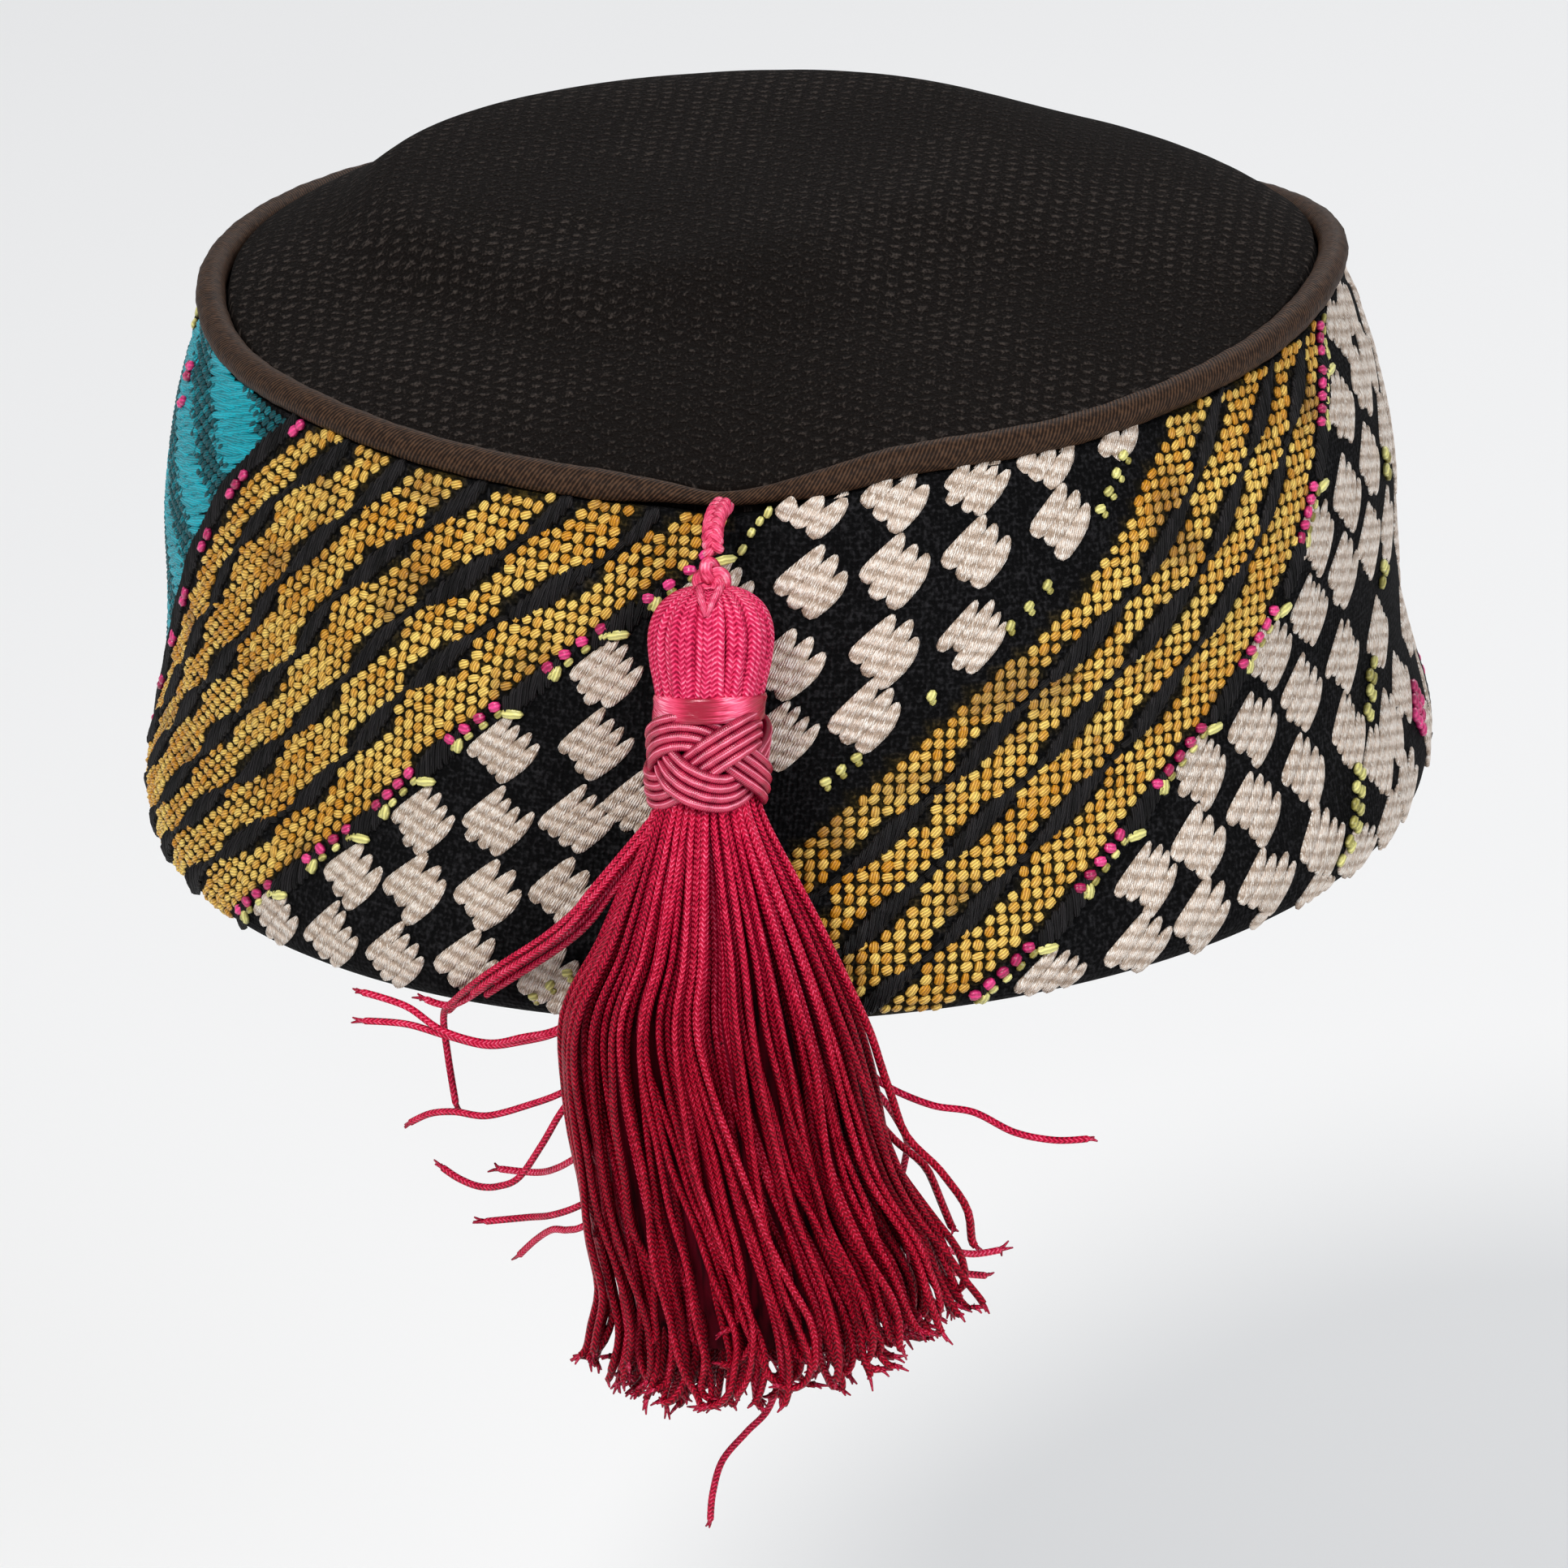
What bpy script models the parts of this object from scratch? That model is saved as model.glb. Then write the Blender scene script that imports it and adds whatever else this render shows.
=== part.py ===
"""A fez-shaped smoking cap: woven side band, canvas crown, piped seam and a cord tassel.

It is shaped as it sits on a head. Metres, +Z up, front along -Y. The origin is the middle of the head
opening, in the plane of the hem. Around the cap, a turn of 0 degrees is the front and +90 is the +X side.
"""

import math

import bmesh
import bpy
from mathutils import Vector

MM = 0.001  # the sizes below are in millimetres

# The plan is an oval: its half depth is DEPTH_SHARE of its half width.
DEPTH_SHARE = 1.10
SEAM_SHIFT_BACK = 2.85  # how far the crown seam's oval lies behind the hem's

# Side band: its outer face from hem to seam, at the mean seam height.
MEAN_SEAM_HEIGHT = 77.5
BAND_PROFILE = (  # (height, half width)
    (0.0, 90.6),
    (1.0, 92.2),
    (3.0, 93.6),
    (8.0, 94.2),
    (16.0, 92.5),
    (24.0, 90.8),
    (36.0, 90.0),
    (48.0, 89.8),
    (60.0, 87.8),
    (69.0, 85.2),
    (75.2, 83.2),
)
BAND_WALL = 2.4
HEM_WALL = 3.2  # the hem is turned under
HEM_TURN_UP = 13.0
HEM_FOLD = 0.9  # height of the rounded fold at the hem
HEM_STEP = 1.5  # height over which the turned hem thins out on the inside

# Crown seam: the piping's centre line, higher at the sides and dipped at the front.
SEAM_HALF_WIDTH = 81.9
SEAM_HEIGHTS = (  # (turn, height)
    (-180, 69.0),
    (-135, 76.5),
    (-90, 80.2),
    (-66, 78.8),
    (-48, 78.6),
    (-30, 77.1),
    (-16, 75.9),
    (-7, 74.9),
    (0, 73.6),
    (8, 75.1),
    (18, 77.8),
    (36, 77.9),
    (60, 79.3),
    (90, 80.2),
    (135, 72.5),
    (180, 69.0),
)
PIPING_RADIUS = 2.2
PIPING_END_RADIUS = 1.0  # its ends thin out where they meet at the front
PIPING_END_TURN = 14.0
PIPING_END_SINK = 1.0
PIPING_SIDES = 8
SEWN_GAP = 0.32  # left between pieces that are sewn together

# Crown: a low mound that swells close to the seam at the back, and the dome that a head pushes up in it.
CROWN_WALL = 1.6
CROWN_MIDDLE_HEIGHT = 87.4
MOUND_POWER_FRONT = 2.0  # how full the mound is: 2 slopes evenly, more keeps its height nearer the seam
MOUND_POWER_BACK = 8.6
CROWN_ALLOWANCE = 9.0  # how far below the seam its turned-down edge reaches, inside the band
CROWN_TUCK = 3.2  # how far below the seam that edge meets the band
CROWN_EDGE_RISE = 0.6  # the crown leaves the piping this far above the seam
CROWN_EDGE_FALL = 1.3  # and turns down this far below it
DOME_RISE = 3.7
DOME_REACH = 0.76  # as a share of the seam's half width
DOME_EDGE_SHARP = 0.12  # width of the dome's sloping edge at the back left, as the same share
DOME_EDGE_SOFT = 0.41  # and at the front right
DOME_SOFT_TURN = 58.0
DOME_MIDDLE = (-5.3, 18.4)
UPPER_RINGS = (0.12, 0.28, 0.42, 0.54, 0.64, 0.73, 0.81, 0.88, 0.93, 0.96)
UNDER_RINGS = (0.93, 0.84, 0.68, 0.48, 0.28)

# Soft dents in the band, pushed inwards where the cloth is slack.
BAND_DENTS = (  # (turn, height, reach in turn, reach in height, depth)
    (-22, 58, 16, 9, 1.6),
    (-52, 50, 18, 14, 1.0),
    (38, 44, 20, 16, 0.9),
    (150, 40, 30, 16, 1.4),
    (-140, 44, 26, 16, 1.2),
)

# Tassel, hung from the seam's dip. Its head, ribbon and knot are turned round one axis, which leans back
# with the band. Places on it are given as distances down the axis from the middle of the head.
HEAD_X = -1.2
HEAD_HEIGHT = 58.6
TASSEL_LEAN = 13.8  # degrees
TASSEL_SWAY = -0.04  # how far the axis drifts in X for each millimetre down it
HEAD_RADIUS = 8.8
HEAD_PROFILE = (  # (distance down, share of the radius)
    (-8.5, 0.12),
    (-8.1, 0.38),
    (-6.6, 0.66),
    (-4.1, 0.88),
    (-0.9, 1.00),
    (2.8, 0.98),
    (5.8, 0.88),
    (7.5, 0.76),
)
CORE_RADIUS = 5.4  # the neck of the head runs on inside the ribbon and the knot
RIBBON_HEIGHT = 2.6
RIBBON_RADIUS = 8.0
RIBBON_PROFILE = ((0.0, 0.97), (0.12, 1.0), (0.88, 1.0), (1.0, 0.97))  # (share of the height, of the radius)
KNOT_HEIGHT = 12.7
KNOT_RADIUS = 9.1
KNOT_PROFILE = (  # (share of the height, of the radius)
    (0.0, 0.80),
    (0.09, 0.93),
    (0.3, 1.0),
    (0.7, 1.0),
    (0.91, 0.94),
    (1.0, 0.84),
)
PART_GAP = 0.3
RIBBON_TOP = HEAD_PROFILE[-1][0] + PART_GAP
KNOT_TOP = RIBBON_TOP + RIBBON_HEIGHT + PART_GAP
KNOT_BOTTOM = KNOT_TOP + KNOT_HEIGHT
SKIRT_TOP = KNOT_BOTTOM + PART_GAP
TASSEL_SIDES = 20
BAND_CLEARANCE = 0.5  # between the tassel and the band behind it

LOOP_RADIUS = 1.6
LOOP_SIDES = 8
LOOP_KNOT_RADIUS = 2.4
LOOP_KNOT_HEIGHT = 4.6
LOOP_KNOT_PROFILE = ((0.0, 0.45), (0.2, 0.85), (0.5, 1.0), (0.8, 0.85), (1.0, 0.5))
LOOP_KNOT_SIDES = 10
LOOP_ARCH = 1.5  # how far it bends up before it hangs
LOOP_STEPS = 6

# Fringe: locks of cords that fan out from under the knot round a backing.
SKIRT_TOP_HALF = (7.6, 6.0)  # half width and half depth under the knot
LOCKS = 18
LOCK_SIDES = 6
LOCK_START = 2.4  # how far below the skirt's top the locks start
LOCK_RADIUS = (2.3, 3.6, 3.9, 3.5, 1.7)  # at the knot, the belly, halfway, near the end and at the tip
BELLY_HEIGHT = 4.0
BELLY_HALF = (17.0, 6.0)
BELLY_X = -3.4
HALFWAY_TUCK = 2.2  # how far the fringe falls in on its spreading side, halfway down
SPREAD_HALF = (22.0, 5.6)
SPREAD_X = 5.4
SPREAD_ABOVE_TIP = 9.0
LOWEST_TIP = (-8.0, -52.5)  # where the lowest tips are: x and height
TIP_RISE_LEFT = 0.030  # the tips rise to both sides by this times the distance squared
TIP_RISE_RIGHT = 0.0095
TIP_SWAY = 0.75  # sideways, from lock to lock
TIP_UNEVEN = 1.6  # and in height
BACKING_SIDES = 16
BACKING_ROWS = (  # (height, middle x, half width, half depth)
    (4.0, -3.4, 17.0, 7.0),
    (-22.0, -0.2, 18.7, 7.0),
    (-34.0, 3.2, 18.2, 6.0),
    (-44.0, -0.8, 14.2, 4.5),
)
STRAY_TIP = (-6.0, -69.5)
STRAY_ABOVE = 14.0  # how far above the lowest tips the stray cord leaves the fringe
STRAY_RADIUS = 1.1

COLOURS = {  # base colour, roughness
    "canvas": ((0.017, 0.014, 0.013), 0.9),
    "brown_sateen": ((0.060, 0.036, 0.023), 0.55),
    "brocade": ((0.62, 0.38, 0.07), 0.7),
    "pink_cord": ((0.58, 0.05, 0.13), 0.55),
    "pink_ribbon": ((0.66, 0.07, 0.17), 0.3),
    "crimson_fringe": ((0.36, 0.01, 0.06), 0.55),
}


def smooth_value(rows, x):
    """The value at x of a smooth curve through rows of (x, value)."""
    if x <= rows[0][0]:
        return rows[0][1]
    if x >= rows[-1][0]:
        return rows[-1][1]
    i = max(k for k in range(len(rows) - 1) if rows[k][0] <= x)

    def slope(k):
        if k in (0, len(rows) - 1):
            return 0.0
        return (rows[k + 1][1] - rows[k - 1][1]) / (rows[k + 1][0] - rows[k - 1][0])

    step = rows[i + 1][0] - rows[i][0]
    t = (x - rows[i][0]) / step
    return (
        (2 * t**3 - 3 * t**2 + 1) * rows[i][1]
        + (t**3 - 2 * t**2 + t) * step * slope(i)
        + (3 * t**2 - 2 * t**3) * rows[i + 1][1]
        + (t**3 - t**2) * step * slope(i + 1)
    )


def ease(t):
    t = min(1.0, max(0.0, t))
    return t * t * (3 - 2 * t)


def turns():
    """The turns round the cap at which its sections stand, closer together at the front dip."""
    found = []
    turn = -180.0
    while turn < 180.0:
        found.append(turn)
        turn += 2.5 if -15 <= turn < 15 else 5.0
    return found


def on_oval(turn, half_width, height):
    """A point of the cap's oval, in millimetres."""
    t = math.radians(turn)
    shift = SEAM_SHIFT_BACK * min(1.0, max(0.0, height / MEAN_SEAM_HEIGHT))
    return (half_width * math.sin(t), shift - DEPTH_SHARE * half_width * math.cos(t), height)


def seam_height(turn):
    return smooth_value(SEAM_HEIGHTS, turn)


def dent(turn, height):
    """How far the band is pushed in at a place, in millimetres."""
    depth = 0.0
    for at_turn, at_height, reach_turn, reach_height, deepest in BAND_DENTS:
        away = ((turn - at_turn) / reach_turn) ** 2 + ((height - at_height) / reach_height) ** 2
        depth += deepest * math.exp(-away)
    return depth


def band_outside(turn, height):
    """The half width of the band's outer face."""
    at_mean_seam = height * MEAN_SEAM_HEIGHT / seam_height(turn)
    return smooth_value(BAND_PROFILE, at_mean_seam) - dent(turn, height)


def band_inside(turn, height):
    wall = HEM_WALL + (BAND_WALL - HEM_WALL) * ease((height - HEM_TURN_UP) / HEM_STEP)
    return band_outside(turn, height) - wall


def side_band_section(turn):
    """The band's wall at one turn: down its outer face, round the hem and up its inner face."""
    scale = seam_height(turn) / MEAN_SEAM_HEIGHT
    heights = [h * scale for h, _ in BAND_PROFILE]
    outer = [(band_outside(turn, h), h) for h in reversed(heights)]
    hem = [(band_outside(turn, 0) - share * HEM_WALL, -0.4 * HEM_FOLD) for share in (0.3, 0.7)]
    inner_heights = [HEM_FOLD, HEM_TURN_UP, HEM_TURN_UP + HEM_STEP]
    inner_heights += [h for h in heights if h > HEM_TURN_UP + 2 * HEM_STEP]
    inner = [(band_inside(turn, h), h) for h in inner_heights]
    return [on_oval(turn, w, h) for w, h in outer + hem + inner]


def mound_power(turn):
    back = ease(0.5 - 0.9 * math.cos(math.radians(turn)))
    return MOUND_POWER_FRONT + (MOUND_POWER_BACK - MOUND_POWER_FRONT) * back


def crown_height(share, turn):
    """The height of the crown's upper face, at a share of the way from its middle to the seam."""
    t = math.radians(turn)
    fall = share ** mound_power(turn)
    mound = seam_height(turn) * fall + CROWN_MIDDLE_HEIGHT * (1 - fall)
    from_dome = math.hypot(
        share * math.sin(t) - DOME_MIDDLE[0] / SEAM_HALF_WIDTH,
        -share * math.cos(t) - (DOME_MIDDLE[1] - SEAM_SHIFT_BACK) / (SEAM_HALF_WIDTH * DEPTH_SHARE),
    )
    softness = 0.5 * (1 + math.cos(t - math.radians(DOME_SOFT_TURN)))
    edge = DOME_EDGE_SHARP + (DOME_EDGE_SOFT - DOME_EDGE_SHARP) * softness
    return mound + DOME_RISE * ease((DOME_REACH - from_dome) / edge)


def crown_point(share, turn, inset=0.0):
    """A point of the crown's upper face, or inset below it, square to the slope of its spoke."""
    step = 0.01
    rise = crown_height(share + step, turn) - crown_height(max(0.0, share - step), turn)
    slope = rise / (2 * step * SEAM_HALF_WIDTH)
    size = math.hypot(1.0, slope)
    half_width = SEAM_HALF_WIDTH * share + inset * slope / size
    x, y, _ = on_oval(turn, half_width, MEAN_SEAM_HEIGHT)
    return (x, y, crown_height(share, turn) - inset / size)


def crown_sections(turn):
    """One spoke of the crown: its upper face, the allowance inside the band, and its under face."""
    against_piping = SEAM_HALF_WIDTH - PIPING_RADIUS - SEWN_GAP
    seam = seam_height(turn)
    upper = [crown_point(share, turn) for share in UPPER_RINGS]
    edge = [(against_piping - 0.2, seam + CROWN_EDGE_RISE), (against_piping + 0.3, seam - CROWN_EDGE_FALL)]
    tucked = []
    for down in (CROWN_TUCK, CROWN_ALLOWANCE):
        tucked.append((band_inside(turn, seam - down) - SEWN_GAP, seam - down))
    rising = [(w - CROWN_WALL, h) for w, h in reversed(tucked)]
    corner = [on_oval(turn, w, h) for w, h in edge + tucked + rising]
    under = [crown_point(share, turn, CROWN_WALL) for share in UNDER_RINGS]
    return upper + corner + under


def piping_section(turn):
    """The piping's round section at one turn. Near the front it thins out and sinks into the seam."""
    share = ease(abs(turn) / PIPING_END_TURN)
    radius = PIPING_END_RADIUS + (PIPING_RADIUS - PIPING_END_RADIUS) * share
    middle = SEAM_HALF_WIDTH - PIPING_END_SINK * (1 - share)
    ring = []
    for k in range(PIPING_SIDES):
        a = 2 * math.pi * (k + 0.5) / PIPING_SIDES
        out, up = radius * math.cos(a), radius * math.sin(a)
        ring.append(on_oval(turn, middle + out, seam_height(turn) + up))
    return ring


def material(name):
    colour, roughness = COLOURS[name]
    made = bpy.data.materials.get(name) or bpy.data.materials.new(name)
    made.use_nodes = True
    shader = made.node_tree.nodes["Principled BSDF"]
    shader.inputs["Base Color"].default_value = (*colour, 1.0)
    shader.inputs["Roughness"].default_value = roughness
    shader.inputs["Metallic"].default_value = 0.0
    made.diffuse_color = (*colour, 1.0)
    return made


def add_object(name, mesh_data, material_name):
    """A named object from a bmesh given in millimetres, with its faces turned outwards."""
    bmesh.ops.scale(mesh_data, vec=(MM, MM, MM), verts=mesh_data.verts)
    bmesh.ops.triangulate(mesh_data, faces=mesh_data.faces)
    bmesh.ops.recalc_face_normals(mesh_data, faces=mesh_data.faces)
    mesh = bpy.data.meshes.new(name)
    mesh_data.to_mesh(mesh)
    mesh_data.free()
    mesh.materials.append(material(material_name))
    mesh.shade_smooth()
    mesh.set_sharp_from_angle(angle=math.radians(50))
    made = bpy.data.objects.new(name, mesh)
    bpy.context.collection.objects.link(made)
    return made


def skin(rings, around=True, along=False, poles=None):
    """A bmesh skinned over equal rings of points.

    around closes each ring, along joins the last ring to the first, and poles closes both ends of each
    spoke with a single point instead (the first with the first point of each ring).
    """
    bm = bmesh.new()
    rows = [[bm.verts.new(p) for p in ring] for ring in rings]
    count = len(rows[0])
    pairs = list(zip(rows, rows[1:] + rows[:1])) if along else list(zip(rows, rows[1:]))
    for a, b in pairs:
        for k in range(count if around else count - 1):
            n = (k + 1) % count
            bm.faces.new((a[k], a[n], b[n], b[k]))
    if poles:
        for pole, k in ((poles[0], 0), (poles[1], -1)):
            tip = bm.verts.new(pole)
            for a, b in pairs:
                bm.faces.new((tip, a[k], b[k]))
    elif not along:
        bm.faces.new(rows[0])
        bm.faces.new(rows[-1])
    return bm


def make_side_band():
    return add_object("side_band", skin([side_band_section(t) for t in turns()], along=True), "brocade")


def make_crown_top():
    middle = crown_point(0.0, 180.0)
    under = (middle[0], middle[1], middle[2] - CROWN_WALL)
    spokes = [crown_sections(t) for t in turns()]
    return add_object("crown_top", skin(spokes, around=False, along=True, poles=(middle, under)), "canvas")


def make_piping():
    return add_object("piping", skin([piping_section(t) for t in turns()], along=True), "brown_sateen")


def band_front(height, x=0.0):
    """How far forward the band's outer face reaches at a height, in millimetres."""
    near_seam = BAND_PROFILE[-1][0]
    at = min(max(height, 0.0), near_seam)
    width = band_outside(0.0, at)
    shift = SEAM_SHIFT_BACK * at / MEAN_SEAM_HEIGHT
    across = min(0.99, abs(x) / width)
    return shift - DEPTH_SHARE * width * math.sqrt(1 - across**2)


def on_tassel(down, out_x, out_ahead, angle):
    """A point on an oval round the tassel's axis, at a distance down it from the middle of the head."""
    lean = math.radians(TASSEL_LEAN)
    head_y = band_front(HEAD_HEIGHT, HEAD_X) - HEAD_RADIUS - BAND_CLEARANCE
    x = HEAD_X + TASSEL_SWAY * down + out_x * math.cos(angle)
    ahead = out_ahead * math.sin(angle)
    y = head_y - down * math.sin(lean) - ahead * math.cos(lean)
    return (x, y, HEAD_HEIGHT - down * math.cos(lean) + ahead * math.sin(lean))


def turned(profile, inner_radius=None, sides=TASSEL_SIDES):
    """Rings round the tassel's axis for rows of (distance down, radius), hollow with an inner radius."""
    rows = list(profile)
    if inner_radius is not None:
        rows += [(profile[-1][0], inner_radius), (profile[0][0], inner_radius)]
    angles = [2 * math.pi * k / sides for k in range(sides)]
    return [[on_tassel(down, radius, radius, a) for a in angles] for down, radius in rows]


def make_tassel_head():
    rows = [(down, HEAD_RADIUS * share) for down, share in HEAD_PROFILE]
    rows += [(HEAD_PROFILE[-1][0], CORE_RADIUS), (KNOT_BOTTOM, CORE_RADIUS)]
    return add_object("tassel_head", skin(turned(rows)), "pink_cord")


def make_tassel_ribbon():
    rows = [(RIBBON_TOP + RIBBON_HEIGHT * down, RIBBON_RADIUS * share) for down, share in RIBBON_PROFILE]
    rings = turned(rows, CORE_RADIUS + PART_GAP)
    return add_object("tassel_ribbon", skin(rings, along=True), "pink_ribbon")


def make_tassel_knot():
    rows = [(KNOT_TOP + KNOT_HEIGHT * down, KNOT_RADIUS * share) for down, share in KNOT_PROFILE]
    rings = turned(rows, CORE_RADIUS + PART_GAP)
    return add_object("tassel_knot", skin(rings, along=True), "pink_cord")


def tube(points, radii, sides):
    """Rings of a round tube along points in millimetres."""
    points = [Vector(p) for p in points]
    rings = []
    for i, point in enumerate(points):
        along = (points[min(len(points) - 1, i + 1)] - points[max(0, i - 1)]).normalized()
        across = Vector((1, 0, 0)) if abs(along.x) < 0.8 else Vector((0, 1, 0))
        side = along.cross(across).normalized()
        other = side.cross(along)
        angles = [2 * math.pi * (k + 0.5) / sides for k in range(sides)]
        rings.append([point + radii[i] * (math.cos(a) * side + math.sin(a) * other) for a in angles])
    return rings


def loop_route():
    """The loop's middle line, from the dip in the seam over the piping's end to its knot."""
    out = PIPING_END_RADIUS + LOOP_RADIUS + SEWN_GAP
    seam_y = SEAM_SHIFT_BACK - DEPTH_SHARE * (SEAM_HALF_WIDTH - PIPING_END_SINK)
    start = Vector((0.0, seam_y - DEPTH_SHARE * out, seam_height(0.0)))
    end = Vector(on_tassel(HEAD_PROFILE[0][0] - LOOP_KNOT_HEIGHT - 4 * PART_GAP, 0, 0, 0))
    bend = Vector((end.x, end.y + LOOP_ARCH, start.z + LOOP_ARCH))
    route = []
    for i in range(LOOP_STEPS + 1):
        t = i / LOOP_STEPS
        route.append((1 - t) ** 2 * start + 2 * t * (1 - t) * bend + t**2 * end)
    return route


def make_tassel_loop():
    route = loop_route()
    radii = [0.8 * LOOP_RADIUS] + [LOOP_RADIUS] * (len(route) - 2) + [0.9 * LOOP_RADIUS]
    return add_object("tassel_loop", skin(tube(route, radii, LOOP_SIDES)), "pink_cord")


def make_tassel_loop_knot():
    top = HEAD_PROFILE[0][0] - PART_GAP - LOOP_KNOT_HEIGHT
    rows = [(top + LOOP_KNOT_HEIGHT * down, LOOP_KNOT_RADIUS * share) for down, share in LOOP_KNOT_PROFILE]
    return add_object("tassel_loop_knot", skin(turned(rows, sides=LOOP_KNOT_SIDES)), "pink_cord")


def tip_height(x):
    away = x - LOWEST_TIP[0]
    return LOWEST_TIP[1] + (TIP_RISE_RIGHT if away > 0 else TIP_RISE_LEFT) * away**2


def belly_y():
    """The middle of the fringe's depth, where it rests on the hem's bulge."""
    bulge = max(BAND_PROFILE, key=lambda row: row[1])[0]
    return band_front(bulge, BELLY_X) - BELLY_HALF[1] - LOCK_RADIUS[1] - BAND_CLEARANCE


def lock_route(number):
    """One lock's middle line: out from under the knot, over the belly and down to its tip."""
    a = 2 * math.pi * (number + 0.5) / LOCKS
    c, s = math.cos(a), math.sin(a)
    half_x, half_ahead = (half - LOCK_RADIUS[0] for half in SKIRT_TOP_HALF)
    y = belly_y()
    tip_x = SPREAD_X + (SPREAD_HALF[0] + LOCK_RADIUS[3]) * c + TIP_SWAY * math.sin(2.4 * number)
    tip_z = tip_height(tip_x) + TIP_UNEVEN * (1 + math.sin(1.7 * number))
    halfway_x = 0.5 * (BELLY_X + BELLY_HALF[0] * c + tip_x) - HALFWAY_TUCK * max(0.0, c)
    return [
        on_tassel(SKIRT_TOP + LOCK_START, half_x, half_ahead, a),
        (BELLY_X + BELLY_HALF[0] * c, y - BELLY_HALF[1] * s, BELLY_HEIGHT),
        (halfway_x, y - BELLY_HALF[1] * s, 0.5 * (BELLY_HEIGHT + tip_z) + 2),
        (SPREAD_X + SPREAD_HALF[0] * c, y - SPREAD_HALF[1] * s, tip_z + SPREAD_ABOVE_TIP),
        (tip_x, y - SPREAD_HALF[1] * s, tip_z),
    ]


def rounded_route(points, steps):
    """Points on a smooth curve through a few, with the share of the way at each."""
    found = []
    rows = [[(float(i), p[axis]) for i, p in enumerate(points)] for axis in range(3)]
    total = (len(points) - 1) * steps
    for k in range(total + 1):
        t = k / steps
        found.append((tuple(smooth_value(row, t) for row in rows), t))
    return found


def lock_object(number):
    route = rounded_route(lock_route(number), 2)
    thickness = [(float(i), radius) for i, radius in enumerate(LOCK_RADIUS)]
    rings = tube([p for p, _ in route], [smooth_value(thickness, t) for _, t in route], LOCK_SIDES)
    return add_object(f"lock_{number}", skin(rings), "crimson_fringe")


def stray_object():
    """The cord that hangs lowest, out of the fringe's front."""
    x, end_height = STRAY_TIP
    y = belly_y() - SPREAD_HALF[1]
    start_height = LOWEST_TIP[1] + STRAY_ABOVE
    points = [(x + 2.0, y, start_height), (x + 1.4, y, 0.5 * (start_height + end_height)), (x, y, end_height)]
    return add_object("stray", skin(tube(points, [STRAY_RADIUS] * 3, LOCK_SIDES)), "crimson_fringe")


def backing_object():
    """The fringe's backing, an oval core that the locks lie round."""
    angles = [2 * math.pi * k / BACKING_SIDES for k in range(BACKING_SIDES)]
    top_x, top_ahead = SKIRT_TOP_HALF
    rings = [
        [on_tassel(SKIRT_TOP, top_x, top_ahead, a) for a in angles],
        [on_tassel(SKIRT_TOP + 4, top_x + 1.2, top_ahead, a) for a in angles],
    ]
    for height, x, half_x, half_y in BACKING_ROWS:
        rings.append([(x + half_x * math.cos(a), belly_y() - half_y * math.sin(a), height) for a in angles])
    return add_object("tassel_skirt", skin(rings), "crimson_fringe")


def make_tassel_skirt():
    """The locks and the stray, fused to the backing."""
    backing = backing_object()
    pieces = [lock_object(n) for n in range(LOCKS)] + [stray_object()]
    for piece in pieces:
        fuse = backing.modifiers.new(piece.name, "BOOLEAN")
        fuse.operation = "UNION"
        fuse.object = piece
        piece.hide_render = True
        piece.display_type = "WIRE"
    return backing


def main():
    for old in list(bpy.data.objects):
        bpy.data.objects.remove(old, do_unlink=True)
    make_crown_top()
    make_piping()
    make_side_band()
    make_tassel_loop()
    make_tassel_loop_knot()
    make_tassel_head()
    make_tassel_ribbon()
    make_tassel_knot()
    make_tassel_skirt()


main()
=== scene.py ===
# %% [markdown]
# # A low fez in woven brocade
# This cap has a bias-cut brocade band, a black canvas crown, a piped seam and a tassel of chainette cord.
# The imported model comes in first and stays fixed. Every piece below is made in the same frame, in metres,
# and takes the place of the plain solid that it stands for.

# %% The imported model
import math

import bmesh
import bpy
import numpy as np
from mathutils import Matrix, Vector


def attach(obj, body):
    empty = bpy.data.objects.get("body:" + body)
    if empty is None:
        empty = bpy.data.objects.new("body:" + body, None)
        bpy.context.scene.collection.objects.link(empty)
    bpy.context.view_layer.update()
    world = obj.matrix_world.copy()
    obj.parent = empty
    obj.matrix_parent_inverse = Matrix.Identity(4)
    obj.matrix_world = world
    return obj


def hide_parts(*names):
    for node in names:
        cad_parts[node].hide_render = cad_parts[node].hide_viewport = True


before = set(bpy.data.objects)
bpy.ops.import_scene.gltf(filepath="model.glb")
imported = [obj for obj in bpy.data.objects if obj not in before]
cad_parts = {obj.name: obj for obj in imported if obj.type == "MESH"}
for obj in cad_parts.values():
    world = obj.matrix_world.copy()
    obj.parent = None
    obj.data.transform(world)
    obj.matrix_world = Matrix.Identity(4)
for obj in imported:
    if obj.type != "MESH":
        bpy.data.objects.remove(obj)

MM = 0.001  # the sizes below are in millimetres
CLOTH_UNIT = 100.0  # millimetres of cloth to one unit of a UV map
chance = np.random.default_rng(11)
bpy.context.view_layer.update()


def new_object(name, data):
    made = bpy.data.objects.new(name, data)
    bpy.context.scene.collection.objects.link(made)
    return made


# %% [markdown]
# ## Camera, floor and light
# The cap is seen a little from above, from far off, with a long lens, so its oval hardly narrows to the back.
# A wide pale floor fills the view behind it, and three large soft lamps stand for a studio's tent of light.

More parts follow.
